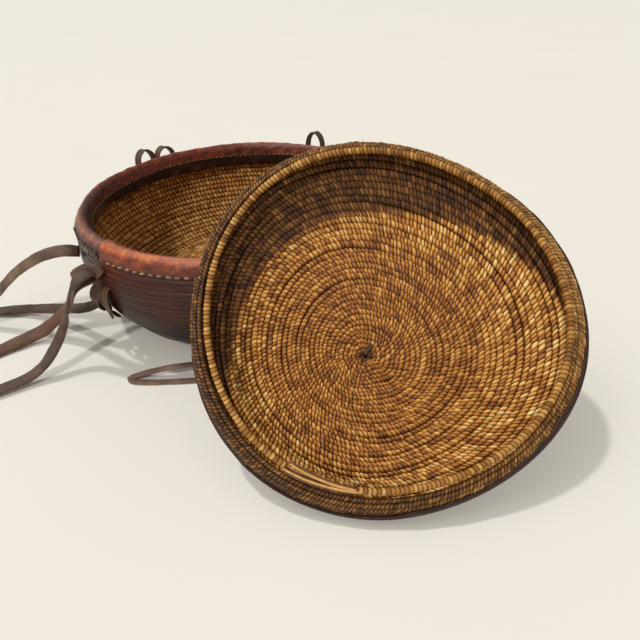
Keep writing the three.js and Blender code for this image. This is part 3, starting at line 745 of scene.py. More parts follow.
def on_wall(degrees, height, proud, seat=None):
    """A place so far proud of the wall, counted from its radius at the seat's height."""
    angle = np.radians(degrees)
    seat = height if seat is None else seat
    radius = np.interp(seat, skin_outer.points[:, 1], skin_outer.points[:, 0]) + proud
    flat = np.stack(np.broadcast_arrays(radius * np.cos(angle), radius * np.sin(angle), height), -1)
    return warp_base(flat)


def thread_finish(name, tones, dirt):
    finish = Finish(name)
    run, over, _ = finish.parts("strip")
    place = finish.place()
    twist = finish.add(
        "ShaderNodeTexWave", {"wave_type": "BANDS"},
        {"Vector": finish.stretched(run * 1.1 + over * 0.5, 0.0, 0.0), "Scale": 0.9, "Distortion": 0.4},
    )
    grime = finish.noise(place, 130, 4, 0.65)
    colour = finish.ramp(grime * 0.9 + twist * 0.2 - 0.08, list(zip((0.28, 0.48, 0.72), tones)))
    return finish.surface(
        finish.blend(finish.spread(grime, 0.62, 0.8) * dirt, colour, linear("#3a2a1c")), 0.8,
        Normal=finish.bump(twist, TWIST_DEEP, 0.6),
    )


def tube_mesh(path, radius, sides=8):
    """Points of a round thread along a path; the radius may change along it."""
    way = unit(np.gradient(path, axis=0))
    level = unit(np.cross(way, (0.05, 0.02, 1.0)))
    square = np.cross(level, way)
    angle = np.arange(sides) * 2 * np.pi / sides
    size = np.broadcast_to(radius, (len(path),))[:, None, None]
    ring = np.cos(angle)[None, :, None] * level[:, None] + np.sin(angle)[None, :, None] * square[:, None]
    points = path[:, None] + size * ring
    run = np.arange(len(path))[:, None]
    tones = np.stack(np.broadcast_arrays(run * 1.0, np.cos(angle)[None], np.sin(angle)[None]), -1)
    return points, tones.reshape(-1, 3)


def add_threads(name, meshes, finish, body):
    """One or more threads as one piece."""
    points, tones, faces, start = [], [], {}, 0
    for ring_points, ring_tones in meshes:
        for group in grid_faces(*ring_points.shape[:2]):
            faces.setdefault(group.shape[1], []).append(group + start)
        points.append(ring_points.reshape(-1, 3))
        tones.append(ring_tones)
        start += len(points[-1])
    groups = [np.vstack(found) for found in faces.values()]
    return add_mesh(name, np.vstack(points), groups, finish, body, {"strip": np.vstack(tones)})


def stitch_path(middle, length, height, proud, tilt):
    """A stitch lying along the wall, sinking into its holes at both ends."""
    along = np.linspace(-1, 1, STITCH_POINTS)
    degrees = middle + along * math.degrees(length / 2 / BULGE_RADIUS)
    rise = height + along * length / 2 * math.sin(math.radians(tilt))
    sink = proud - STITCH_SINK * along ** 4
    return on_wall(degrees, rise, sink, SHOULDER_HEIGHT)


rng = np.random.default_rng(61)
stitches = []
band_face = GAP + BAND_PROUD
for i in range(STITCH_COUNT):
    middle = (i + 0.5) * 360 / STITCH_COUNT + rng.uniform(-0.25, 0.25)
    size = rng.uniform(0.85, 1.12)
    path = stitch_path(
        middle, STITCH_LONG * size, BAND_FOOT + STITCH_LIFT + rng.uniform(-STITCH_WANDER, STITCH_WANDER),
        band_face + STITCH_PROUD, rng.normal(STITCH_TILT, 5),
    )
    taper = 1 - STITCH_TAPER * np.abs(np.linspace(-1, 1, STITCH_POINTS)) ** 3
    swell = STITCH_WIDE / 2 * rng.uniform(0.85, 1.1) * taper
    stitches.append(tube_mesh(path, swell))
cream = thread_finish("seam_thread_cream", ("#6f5a38", "#a68c5c", "#cdb682"), 0.7)
seam = add_threads("base_seam_stitches", stitches, cream, "base")
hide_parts("base_rim_stitching")

MEND_FROM = 207.0
MEND_TO = 230.5
MEND_LOOPS = 9
MEND_WANDER = 0.0008
MEND_PROUD = 0.0004
MEND_RADIUS = 0.00045
MEND_STEP = 0.0008
# Each zigzag's lowest and highest height, and its shift round the rim.
MEND_ROWS = ((0.0835, 0.0945, 0.0), (0.0850, 0.0960, 0.5), (0.0830, 0.0900, 0.25))
mend = []
for lower, upper, shift in MEND_ROWS:
    corners = []
    for i in range(2 * MEND_LOOPS + 1):
        degrees = MEND_FROM + (MEND_TO - MEND_FROM) * (i + shift) / (2 * MEND_LOOPS + 1)
        height = (upper if i % 2 else lower) + rng.uniform(-MEND_WANDER, MEND_WANDER)
        corners.append(on_wall(degrees, height, band_face + MEND_PROUD, SHOULDER_HEIGHT))
    path, _, _ = smooth_path(corners, [0, 0], MEND_STEP)
    mend.append(tube_mesh(path, MEND_RADIUS, 6))
grey_thread = thread_finish("mend_thread_grey", ("#3c342c", "#6f6454", "#988a73"), 0.6)
net = add_threads("base_mend_thread", mend, grey_thread, "base")


# Inner strip. Dark thin hide sewn inside below the band, with a wavy cut lower edge and a line of
# pale running stitches.
STRIP_THICK = 0.0012
STRIP_WAVE = 0.0002
STRIP_EDGE_WAVE = 0.0004
STRIP_EDGE_FROM = 0.004
STRIP_EDGE_BLEND = 0.008
STRIP_COLUMNS = 480
HEM_FROM = 0.088
HEM_BLEND = 0.01
HEM_SLOW = 0.0010
HEM_FAST = 0.0005
rim_inner = rim_outer + BAND_LINE[-1][0]
# Places down the strip, inward of the band's inner edge, with their heights.
STRIP_LINE = [(-0.0002, 0.0905), (0.0004, 0.0880), (0.0010, 0.0850), (0.0019, 0.0815), (0.0030, 0.0785)]
strip_line = np.array([(rim_inner + out, height) for out, height in STRIP_LINE])
strip_outer = Outline(strip_line)
strip_back = Outline(strip_line + (STRIP_THICK, 0))


def strip_relief(angle, distance):
    edge = np.clip((distance - STRIP_EDGE_FROM) / STRIP_EDGE_BLEND, 0, 1)
    flat = STRIP_WAVE * waves(angle, distance, 71, 12, 0.02)
    return flat + STRIP_EDGE_WAVE * edge * waves(angle, distance, 72, 40, 0.02)


points, lie = turned_mesh(strip_outer, strip_back, STRIP_COLUMNS, strip_relief, warp_base)
hang = np.clip((HEM_FROM - points[..., 2]) / HEM_BLEND, 0, 1)
turn = np.arctan2(points[..., 1], points[..., 0])
hem = HEM_SLOW * waves(turn, 0 * turn, 73, 24, 1.0) + HEM_FAST * waves(turn, 0 * turn, 74, 70, 1.0)
points[..., 2] += hang * hem
dark_hide = hide_finish("strip_dark_hide", "#1a0f0a", "#37211a", "#543628", "#715040", 0.6, 0.5)
inner_strip = add_shell("base_inner_strip_hide", (points, lie), dark_hide, "base", closed_rows=True)
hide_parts("base_inner_strip")

RUNNING_COUNT = 150
RUNNING_PROUD = 0.0001
RUNNING_SINK = 0.0006
RUNNING_HEIGHT = 0.0900
RUNNING_WANDER = 0.0005
RUNNING_RADIUS = 0.0005
RUNNING_POINTS = 7
RUNNING_TAPER = 0.6
running = []
for i in range(RUNNING_COUNT):
    middle = i * 360 / RUNNING_COUNT + rng.uniform(-0.3, 0.3)
    along = np.linspace(-1, 1, RUNNING_POINTS)
    degrees = middle + along * rng.uniform(0.6, 0.85)
    turn = np.radians(degrees)
    radius = rim_inner - RUNNING_PROUD + RUNNING_SINK * along ** 4
    height = RUNNING_HEIGHT + RUNNING_WANDER * np.sin(middle / 9) + 0 * along
    flat = np.stack([radius * np.cos(turn), radius * np.sin(turn), height], -1)
    taper = 1 - RUNNING_TAPER * np.abs(along) ** 3
    running.append(tube_mesh(warp_base(flat), RUNNING_RADIUS * taper, 6))
inner_thread = add_threads("base_inner_stitches", running, cream, "base")


# Tie places. At each of the four, a thong is passed through two slits in the skin and knotted, with
# its short ends hanging in a V. The front left one shows a lit tongue, two legs and a dark tail.
TIE_TURNS = {"front_left": 229, "back_left": 140, "back_right": 55, "front_right": 319}
THONG_THICK = 0.0018
TIE_STEP = 0.0016
TIE_LOWEST_SEAT = 0.03
# Each strip's width, its places (along the wall, height, how proud) and its tilt in degrees.
TIE_STRIPS = {
    "leg_near": (0.0110, [(0.006, 0.0690, -0.0015), (0.0055, 0.0645, 0.0028), (0.0040, 0.0560, 0.0050),
                          (0.0010, 0.0470, 0.0058), (-0.0020, 0.0395, 0.0050),
                          (-0.0045, 0.0340, 0.0030)], 6),
    "leg_far": (0.0105, [(0.001, 0.0680, -0.0015), (-0.0030, 0.0640, 0.0035), (-0.0085, 0.0560, 0.0070),
                         (-0.0135, 0.0480, 0.0085), (-0.0170, 0.0420, 0.0085),
                         (-0.0195, 0.0370, 0.0070)], 24),
    "tail": (0.0085, [(-0.0020, 0.0460, 0.0030), (-0.0090, 0.0395, 0.0055), (-0.0150, 0.0325, 0.0065),
                      (-0.0190, 0.0265, 0.0060)], 40),
}


def tie_place(degrees, spot):
    """A place by its distance along the wall, its height and how proud it is."""
    along, height, proud = spot
    turn = degrees + math.degrees(along / BULGE_RADIUS)
    return on_wall(turn, height, proud, max(height, TIE_LOWEST_SEAT))


def tie_across(degrees, tilt):
    """The direction along the wall, tilted downwards."""
    angle = math.radians(degrees)
    side = np.array([-math.sin(angle), math.cos(angle), 0])
    lean = math.radians(tilt)
    return side * math.cos(lean) - np.array([0, 0, math.sin(lean)])


def leaning(path, leans):
    """Directions across a strip that lies flat at no lean, in degrees."""
    way = unit(np.gradient(path, axis=0))
    level = unit(np.cross(way, (0, 0, 1)))
    square = np.cross(level, way)
    lean = np.radians(leans)
    return np.cos(lean) * level + np.sin(lean) * square


STRIP_SIDES = 16
STRIP_EDGE = 0.42
STRIP_CUP = 0.10
STRIP_CUP_MIDDLE = 0.4
STRIP_WAVES = 7
STRIP_FULL = 0.955
STRIP_WAVY = 0.018
STRIP_RAGGED = 0.012
STRIP_THICK_WAVY = 0.04
STRIP_THICK_GRAIN = 0.05


def strip_mesh(path, across, width, thick, seed):
    """Points of a strip of hide: a flat section with soft edges, of uneven width, a little cupped."""
    rng = np.random.default_rng(seed)
    count = len(path)
    way = unit(np.gradient(path, axis=0))
    across = unit(across - np.einsum("ij,ij->i", across, way)[:, None] * way)
    face = np.cross(way, across)
    angle = (np.arange(STRIP_SIDES) + 0.5) * 2 * np.pi / STRIP_SIDES
    flat = np.sign(np.cos(angle)) * np.abs(np.cos(angle)) ** STRIP_EDGE
    proud = np.sign(np.sin(angle)) * np.abs(np.sin(angle)) ** STRIP_EDGE
    run = np.arange(count)[:, None]
    uneven = sum(
        rng.uniform(0.2, 1) * np.sin(run * rng.uniform(0.05, 0.9) + rng.uniform(0, 6))
        for _ in range(STRIP_WAVES)
    )
    grain = rng.normal(0, 1, (count, STRIP_SIDES))
    half = width / 2 * (STRIP_FULL + STRIP_WAVY * uneven + STRIP_RAGGED * rng.normal(0, 1, (count, 1)))
    deep = thick / 2 * (1 + STRIP_THICK_WAVY * uneven + STRIP_THICK_GRAIN * grain)
    cup = STRIP_CUP * width * (flat ** 2 - STRIP_CUP_MIDDLE)
    points = (path[:, None] + (half * flat)[..., None] * across[:, None]
              + (deep * proud + cup)[..., None] * face[:, None])
    tones = np.stack(np.broadcast_arrays(run * 1.0, flat[None] * 1.0, proud[None] * 1.0), -1)
    return points, tones


def add_strip(name, path, across, width, thick, finish, body, seed):
    points, tones = strip_mesh(path, across, width, thick, seed)
    tones = {"strip": tones.reshape(-1, 3)}
    return add_mesh(name, points, grid_faces(*points.shape[:2]), finish, body, tones)


GRAIN_DEEP = 0.0005
EDGE_FROM = 0.93
EDGE_SHOWN = 0.5


def thong_finish(name, dark, middle, lighter, edge):
    """Dry cut hide: mottled along its length, paler where it rubs, with pale raw edges."""
    finish = Finish(name)
    run, over, _ = finish.parts("strip")
    place = finish.place()
    blotch = finish.noise(place, 60, 4, 0.6)
    grain = finish.noise(place, 900, 3, 0.6)
    fibre = finish.noise(finish.stretched(run * 0.25, over * 9, 0.0), 1.5, 3)
    colour = finish.ramp(blotch * 0.7 + fibre * 0.45 - 0.05, [(0.3, dark), (0.52, middle), (0.75, lighter)])
    rim = finish.spread(over.maths("ABSOLUTE", over), EDGE_FROM, 1.0)
    return finish.surface(
        finish.blend(rim * EDGE_SHOWN, colour, linear(edge)), finish.spread(blotch, 0.2, 0.8) * 0.2 + 0.5,
        Normal=finish.bump(grain * 0.5 + fibre * 0.6, GRAIN_DEEP, 0.7),
    )


thong_grey = thong_finish("thong_grey_brown", "#2b1d14", "#5f4633", "#8d7158", "#94795e")
thong_red = thong_finish("thong_red_brown", "#281910", "#5c3b25", "#865c3c", "#7c573a")
for number, (station, degrees) in enumerate(TIE_TURNS.items()):
    for part_seed, (part, (width, spots, tilt)) in enumerate(TIE_STRIPS.items()):
        path, _, _ = smooth_path([tie_place(degrees, spot) for spot in spots], [0, 0], TIE_STEP)
        across = np.broadcast_to(tie_across(degrees, tilt), path.shape)
        finish = thong_red if part == "leg_near" else thong_grey
        piece = add_strip(
            f"tie_{station}_{part}", path, across, width, THONG_THICK, finish, "base",
            100 + 10 * number + part_seed,
        )
        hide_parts(f"tie_keeper_{station}")

TONGUE_WIDTH = 0.0105
TONGUE_STEP = 0.0014
TONGUE_ACROSS = (0.2, 0.25, 0.95)
TONGUE = [(0.0095, 0.0800, 0.0035), (0.0055, 0.0835, 0.0060), (-0.0005, 0.0835, 0.0085),
          (-0.0070, 0.0800, 0.0120), (-0.0120, 0.0750, 0.0150)]
path, _, _ = smooth_path([tie_place(TIE_TURNS["front_left"], spot) for spot in TONGUE], [0, 0], TONGUE_STEP)
across = np.broadcast_to(np.array(TONGUE_ACROSS), path.shape)
tongue = add_strip("tie_front_left_tongue", path, across, TONGUE_WIDTH, THONG_THICK, thong_red, "base", 150)
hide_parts("tie_keeper_front_left")

TAB_WIDTH = 0.008
TAB_TURN = 214.6
TAB_STEP = 0.0010
TAB_SPOTS = ((0.0670, 0.0012), (0.0655, 0.0045), (0.0625, 0.0090))
tab_finish = thong_finish("tab_orange_brown", "#4a2410", "#8a4a22", "#a8683a", "#8a5a34")
tab_route = [on_wall(TAB_TURN, height, proud) for height, proud in TAB_SPOTS]
path, leans, _ = smooth_path(tab_route, [30, 40], TAB_STEP)
tab = add_strip("tie_tab", path, leaning(path, leans), TAB_WIDTH, THONG_THICK, tab_finish, "base", 151)
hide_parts("tie_tab_front_left")


# Tie loops. Two short loops of narrow cut thong stand up behind the rim at each back tie place, their
# feet held on the outside of the wall by the knot there.
LOOP_WIDTH = 0.0075
LOOP_SKEW = 0.55
LOOP_FOOT = 0.076
LOOP_PROUD = 0.0053
LOOP_FOOT_PROUD = 0.0038
LOOP_STEP = 0.0016
thong_dark = thong_finish("thong_dark_brown", "#1e130c", "#48321f", "#6c523a", "#715a44")
# Each loop's two feet in degrees round the rim, and its height.
LOOPS = {
    "tie_loop_back_left_1": (144.3, 137.3, 0.1085),
    "tie_loop_back_left_2": (135.3, 128.3, 0.1065),
    "tie_loop_back_right_1": (67, 60.5, 0.112),
    "tie_loop_back_right_2": (49, 38, 0.108),
}
for seed, (name, (start, end, top)) in enumerate(LOOPS.items()):
    middle = (start + end) / 2
    bend = (end - start) / 6
    shoulder = (BAND_FOOT + 5 * top) / 6
    half_way = (BAND_FOOT + top) / 2
    spots = [
        (start, LOOP_FOOT, LOOP_FOOT_PROUD), (start, BAND_FOOT, LOOP_PROUD), (start, half_way, LOOP_PROUD),
        (start + bend, shoulder, LOOP_PROUD), (middle, top, LOOP_PROUD), (end - bend, shoulder, LOOP_PROUD),
        (end, half_way, LOOP_PROUD), (end, BAND_FOOT, LOOP_PROUD), (end, LOOP_FOOT, LOOP_FOOT_PROUD),
    ]
    places = [on_wall(d, h, p, BULGE_HEIGHT) for d, h, p in spots]
    path, _, _ = smooth_path(places, [0, 0], LOOP_STEP)
    out = unit(on_wall(middle, 0.0, 0.0, BULGE_HEIGHT) * (1, 1, 0))
    skew = math.copysign(LOOP_SKEW, 90 - middle)
    across = np.broadcast_to(out + skew * np.array([out[1], -out[0], 0]), path.shape)
    loop = add_strip(name + "_strip", path, across, LOOP_WIDTH, THONG_THICK, thong_dark, "base", 160 + seed)
    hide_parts(name)


# Thongs. Flat strips cut from grey-brown hide, dry and a little curled. Four leave the tie place at
# the front left and run out of view, and a narrower one comes out between the base and the lid.
THONG_WIDTH = 0.011
FRONT_THONG_WIDTH = 0.0085
# How much of its cut width a strip shows, where that isn't the usual share.
SEEN_SHARES = {"thong_c": 1.08, "thong_front": 0.68}
USUAL_SEEN_SHARE = 0.92
THONG_STEP = 0.0022
# Each thong's width, its route and its lean in degrees at even places along the route.
THONG_ROUTES = {
    "thong_a": (THONG_WIDTH, [
        (-0.1274, -0.0853, 0.081), (-0.1323, -0.0896, 0.084), (-0.1398, -0.0909, 0.0845),
        (-0.1491, -0.0917, 0.083), (-0.1602, -0.0906, 0.079), (-0.1722, -0.0876, 0.0725),
        (-0.1858, -0.0839, 0.064), (-0.1981, -0.0815, 0.055), (-0.21, -0.0803, 0.045),
        (-0.222, -0.079, 0.034), (-0.234, -0.078, 0.023), (-0.246, -0.078, 0.013),
        (-0.257, -0.079, 0.0065), (-0.268, -0.081, 0.004), (-0.279, -0.084, 0.004),
    ], [60, 60, 60, 58, 55, 52, 50, 48, 45, 40, 30, 20, 10, 5, 5]),
    "thong_b": (THONG_WIDTH, [
        (-0.1126, -0.1034, 0.0445), (-0.1185, -0.1036, 0.0415), (-0.1245, -0.1022, 0.038),
        (-0.131, -0.0995, 0.035), (-0.139, -0.095, 0.031), (-0.15, -0.0877, 0.026),
        (-0.1694, -0.0762, 0.0185), (-0.1909, -0.067, 0.0125), (-0.2095, -0.061, 0.0085),
        (-0.2268, -0.0587, 0.006), (-0.2425, -0.0587, 0.005), (-0.257, -0.062, 0.0045),
        (-0.27, -0.067, 0.004),
    ], [40, 40, 40, 40, 40, 38, 35, 35, 33, 30, 25, 15, 8]),
    "thong_c": (THONG_WIDTH, [
        (-0.0997, -0.1176, 0.076), (-0.103, -0.122, 0.0775), (-0.1085, -0.125, 0.077),
        (-0.115, -0.1245, 0.0725), (-0.1215, -0.121, 0.0655), (-0.129, -0.1155, 0.056),
        (-0.1365, -0.11, 0.0465), (-0.1457, -0.1055, 0.037), (-0.1556, -0.101, 0.028),
        (-0.1672, -0.0994, 0.018), (-0.1769, -0.1003, 0.0115), (-0.1865, -0.1035, 0.008),
        (-0.1975, -0.1105, 0.006), (-0.2094, -0.1195, 0.005), (-0.2216, -0.1285, 0.0045),
        (-0.233, -0.138, 0.004),
    ], [10, 15, 22, 32, 42, 50, 54, 56, 56, 54, 48, 42, 34, 26, 16, 8]),
    "thong_d": (THONG_WIDTH, [
        (-0.1005, -0.12, 0.0815), (-0.1035, -0.125, 0.0835), (-0.1085, -0.13, 0.0825),
        (-0.114, -0.1325, 0.0785), (-0.1195, -0.132, 0.07), (-0.125, -0.131, 0.0595),
        (-0.13, -0.1305, 0.0485), (-0.1355, -0.133, 0.0385), (-0.1414, -0.138, 0.028),
        (-0.1494, -0.1465, 0.017), (-0.157, -0.1518, 0.0105), (-0.165, -0.157, 0.007),
        (-0.1755, -0.1635, 0.006), (-0.185, -0.169, 0.0055), (-0.196, -0.1755, 0.005),
        (-0.206, -0.181, 0.0045),
    ], [10, 15, 20, 24, 24, 22, 20, 18, 18, 18, 18, 16, 12, 8, 5, 2]),
    "thong_front": (FRONT_THONG_WIDTH, [
        (0.1168, -0.1028, 0.064), (0.1186, -0.1116, 0.052), (0.113, -0.12, 0.038),
        (0.104, -0.127, 0.024), (0.092, -0.133, 0.012), (0.076, -0.138, 0.006),
        (0.054, -0.142, 0.004), (0.03, -0.1455, 0.005), (0.008, -0.1485, 0.008),
        (-0.014, -0.151, 0.011), (-0.0333, -0.1515, 0.012), (-0.052, -0.1515, 0.0095),
        (-0.068, -0.1518, 0.006), (-0.079, -0.1528, 0.003), (-0.0845, -0.1552, 0.002),
        (-0.079, -0.1582, 0.0014), (-0.066, -0.1592, 0.0013), (-0.046, -0.159, 0.0013),
        (-0.024, -0.158, 0.0013), (-0.004, -0.157, 0.0013),
    ], [0, 0, 5, 5, 5, 5, 5, 5, 5, 5, 5, 5, 5, 5, 3, 0, 0, 0, 0, 0]),
}
THONG_FINISHES = {
    "thong_a": thong_grey, "thong_b": thong_dark, "thong_c": thong_red, "thong_d": thong_dark,
    "thong_front": thong_grey,
}
for seed, (name, (width, route, leans)) in enumerate(THONG_ROUTES.items()):
    path, leans, run = smooth_path(route, leans, THONG_STEP)
    finish = THONG_FINISHES[name]
    wide = width * SEEN_SHARES.get(name, USUAL_SEEN_SHARE)
    thong = add_strip(name + "_strip", path, leaning(path, leans), wide, THONG_THICK, finish, "base", seed)
    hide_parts(name)


# Lid dish. A shallow dish of the same work in a finer coil, slumped to one side, bare inside and
# round its collar, lying with its hollow towards the viewer.
LID_PLACE = Vector((0.1075, -0.1976, 0.0963))
LID_LEAN = 40.2
LID_TURN = -3
LID_LOBES = ((2, 0.0023, -0.39), (3, 0.00265, -0.08))
LID_SLUMP = (-0.008, -0.030)
SLUMP_HOLD_SHARE = 0.5
START_ASIDE = (-0.0028, -0.0038)
START_REACH = 0.060
LID_RIM_RADIUS = 0.109
LID_RIM_COIL = 0.0042
LID_BULGE_RADIUS = 0.1245
LID_BULGE_DEPTH = 0.012
LID_FLOOR_RADIUS = 0.046
LID_DEPTH = 0.0365
LID_FLOOR_STEPS = 40
DISH_STEPS = 60
COLLAR_STEPS = 30
lid_coil_bulge = LID_BULGE_RADIUS - LEATHER - GAP
lid_frame = (
    Matrix.Translation(LID_PLACE)
    @ Matrix.Rotation(math.radians(LID_TURN), 4, "Z")
    @ Matrix.Rotation(math.radians(LID_LEAN), 4, "X")
)
lid_turn = np.array(lid_frame.to_3x3())


def slumped_away(points):
    deep = (points[..., 2] / LID_DEPTH) ** 2
    away = (points[..., 0] ** 2 + points[..., 1] ** 2) / LID_BULGE_RADIUS ** 2
    return deep * (1 - SLUMP_HOLD_SHARE * away)


def warp_lid(points):
    round_points = out_of_round(points, LID_LOBES, LID_BULGE_RADIUS)
    slumped = round_points + slumped_away(points)[..., None] * np.array([*LID_SLUMP, 0])
    aside = np.clip(1 - (points[..., 0] ** 2 + points[..., 1] ** 2) / START_REACH ** 2, 0, 1) ** 2
    slumped = slumped + aside[..., None] * np.array([*START_ASIDE, 0])
    return slumped @ lid_turn.T + np.array(LID_PLACE)


def dish_curve(inset):
    turn = np.linspace(0, 1, DISH_STEPS) * np.pi / 2
    wide = lid_coil_bulge - LID_FLOOR_RADIUS
    high = LID_DEPTH - LEATHER - GAP - LID_BULGE_DEPTH
    line = np.stack([LID_FLOOR_RADIUS + wide * np.sin(turn), -LID_BULGE_DEPTH - high * np.cos(turn)], 1)
    return line - inset * unit(np.stack([np.sin(turn) / wide, -np.cos(turn) / high], 1))


def collar_curve(inset, end_turn):
    turn = np.linspace(0, end_turn, COLLAR_STEPS)[1:] * np.pi / 2
    wide = lid_coil_bulge - LID_RIM_RADIUS - LID_RIM_COIL / 2
    high = LID_BULGE_DEPTH - LID_RIM_COIL - GAP
    line = np.stack([lid_coil_bulge - wide + wide * np.cos(turn), high * np.sin(turn) - LID_BULGE_DEPTH], 1)
    return line - inset * unit(np.stack([np.cos(turn) / wide, np.sin(turn) / high], 1))


def lid_line(inset, end_turn):
    """Outline of the lid from the middle of its floor out and up its collar."""
    dish = dish_curve(inset)
    across = np.linspace(0, LID_FLOOR_RADIUS, LID_FLOOR_STEPS)
    floor_part = np.stack([across, np.full(LID_FLOOR_STEPS, dish[0, 1])], 1)
    return np.vstack([floor_part[:-1], dish, collar_curve(inset, end_turn)])


COLLAR_TURN = 0.9
LID_INSET = 0.0016
lid_inside = Outline(lid_line(LID_INSET, COLLAR_TURN))
wall_start = LID_FLOOR_STEPS - 1
wall_runs = lid_inside.run[wall_start:wall_start + DISH_STEPS]
bulge_run = wall_runs[-1]
# Courses that stand out or lie back: the share of the floor, the share of the wall, and how far.
LID_COURSES = [
    (0.26, 0, 0.0009), (0.5, 0, -0.0006), (0.74, 0, 0.0009), (0.98, 0, -0.0006), (1, 0.09, 0.0009),
    (1, 0.18, -0.0006), (1, 0.28, 0.0009), (1, 0.38, -0.0006), (1, 0.49, 0.0009), (1, 0.63, -0.0006),
    (1, 0.79, 0.0009), (1, 0.93, -0.0006), (1, 1, 0),
]
course_runs = [0] + [
    out * LID_FLOOR_RADIUS + np.interp(turn, np.linspace(0, 1, DISH_STEPS), wall_runs - wall_runs[0])
    for out, turn, _ in LID_COURSES
]
course_heights = [0] + [height for *_, height in LID_COURSES]
LID_PITCHES = (0.0028, 0.0034, 0.0039, 0.0038, 0.0026)
LID_PITCH_AT = (0, 0.05, 0.09, bulge_run, lid_inside.run[-1])
LID_DRIFT = ((0.10, 560, 0), (0.08, 1270, 1))
LID_RIPPLE = 0.0006
LID_ROW_RIPPLE = 0.00055
STILL_START = 0.012
STILL_PAST_BULGE = 0.004
STILL_BLEND = 0.05
LEAST_RIPPLE = 0.12


def lid_pitch(distance):
    return drifting(np.interp(distance, LID_PITCH_AT, LID_PITCHES), distance, LID_DRIFT)


def lid_ripple(turn, distance):
    ridges = np.interp(distance, course_runs, course_heights)
    slow = waves(turn, distance, 81, 5, 0.09) * LID_RIPPLE
    rows = waves(turn, distance, 82, 2, 0.011) * LID_ROW_RIPPLE
    to_rim = np.clip((bulge_run + STILL_PAST_BULGE - distance) / STILL_BLEND, LEAST_RIPPLE, 1)
    return (slow + rows - ridges) * np.clip(distance / STILL_START, 0, 1) * to_rim


COLLAR_LAP = 0.006
collar_run = bulge_run - COLLAR_LAP
# Each span's first and last distance along the outline, its stitch and its section.
LID_SPANS = {
    "lid_coils_floor": (0.0012, 0.062, 0.0026, INSIDE_SECTION),
    "lid_coils_low": (0.062, 0.094, 0.0029, INSIDE_SECTION),
    "lid_coils_high": (0.094, collar_run, 0.0030, INSIDE_SECTION),
    "lid_coils_collar": (collar_run, lid_inside.run[-1], 0.0023, ROUND_SECTION),
}
LID_TONES = ("#4e280b", "#8a4f19", "#bf7c31", "#e0a650", "#fbdc94")
lid_straw = straw_finish("lid_bound_straw", LID_TONES, "#1e1005", 0.0)
COLLAR_TONES = ("#38210d", "#623e18", "#895a26", "#ae7e3c", "#d4a963")
collar_straw = straw_finish("collar_bound_straw", COLLAR_TONES, "#211208", -0.15)
LID_COIL_THICK = 0.0030
LID_BEAD = 0.62
# Painted shadow of the rim: the straw on the upper left of the hollow is darkened in its colour.
RIM_SHADOW_SHIFT = (0.011, -0.030)
RIM_SHADOW_RADIUS = 0.107
RIM_SHADOW_BLEND = 0.004
RIM_SHADOW_DEPTH = 0.004
RIM_SHADOW_DEPTH_BLEND = 0.002
RIM_SHADOW_STRENGTH = 0.62
# Painted shade in the small hole where the spiral starts.
HOLE_SHADE_STRENGTH = 0.85
HOLE_SHADE_RADIUS = 0.0042
# Painted light: the outer rings of the wall are painted paler, standing in for the lit outer wall.
OUTER_LIGHT_FROM = 0.055
OUTER_LIGHT_BLEND = 0.05
INNER_TONE = 0.84
OUTER_PAINTED_LIGHT = 0.62


def painted_lid_light_and_shade(points):
    """Painted rim shadow on the upper left of the wall, painted shade at the start, and paler outer rings as
    painted light.
    """
    moved = slumped_away(points)
    x = points[..., 0] + LID_SLUMP[0] * moved - RIM_SHADOW_SHIFT[0]
    y = points[..., 1] + LID_SLUMP[1] * moved - RIM_SHADOW_SHIFT[1]
    out = np.hypot(points[..., 0], points[..., 1])
    inside = np.clip((-RIM_SHADOW_DEPTH - points[..., 2]) / RIM_SHADOW_DEPTH_BLEND, 0, 1)
    shade = 1 - RIM_SHADOW_STRENGTH * np.clip((np.hypot(x, y) - RIM_SHADOW_RADIUS) / RIM_SHADOW_BLEND, 0, 1) * inside
    shade = shade * (1 - HOLE_SHADE_STRENGTH * np.exp(-(out / HOLE_SHADE_RADIUS) ** 2))
    outer = np.clip((out - OUTER_LIGHT_FROM) / OUTER_LIGHT_BLEND, 0, 1) ** 1.5
    tone = INNER_TONE + OUTER_PAINTED_LIGHT * outer * shade
    return np.stack([tone, shade, np.ones_like(shade)], -1).reshape(-1, 3)


LID_SLANT = 0.5
# The collar is painted paler towards its upper right and darker towards its lower left: painted light and
# shade.
COLLAR_PAINTED_LIGHT = 0.35
COLLAR_LIT_TURN = math.radians(30)
for seed, (name, (first, last, stitch, section)) in enumerate(LID_SPANS.items()):
    last = min(last + SPAN_LAP, lid_inside.run[-1])
    mesh = coil_mesh(
        lid_inside, first, last, lid_pitch, stitch, LID_COIL_THICK, section, 90 + seed, lid_ripple,
        LID_SLANT, LID_BEAD,
    )
    tan = collar_straw if name.endswith("collar") else lid_straw
    if section is INSIDE_SECTION:
        # The lid's painted light and shade go into the tones here.
        mesh = (mesh[0], mesh[1] * painted_lid_light_and_shade(mesh[0]), mesh[2])
    else:
        # Painted light and shade on the collar, by its angle round the lid.
        mesh[1][:, 0] += COLLAR_PAINTED_LIGHT * np.cos(mesh[2][:, 2] - COLLAR_LIT_TURN)
    coils = add_coil(name, mesh, warp_lid, tan, "lid")
    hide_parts("lid_coiled_dish")


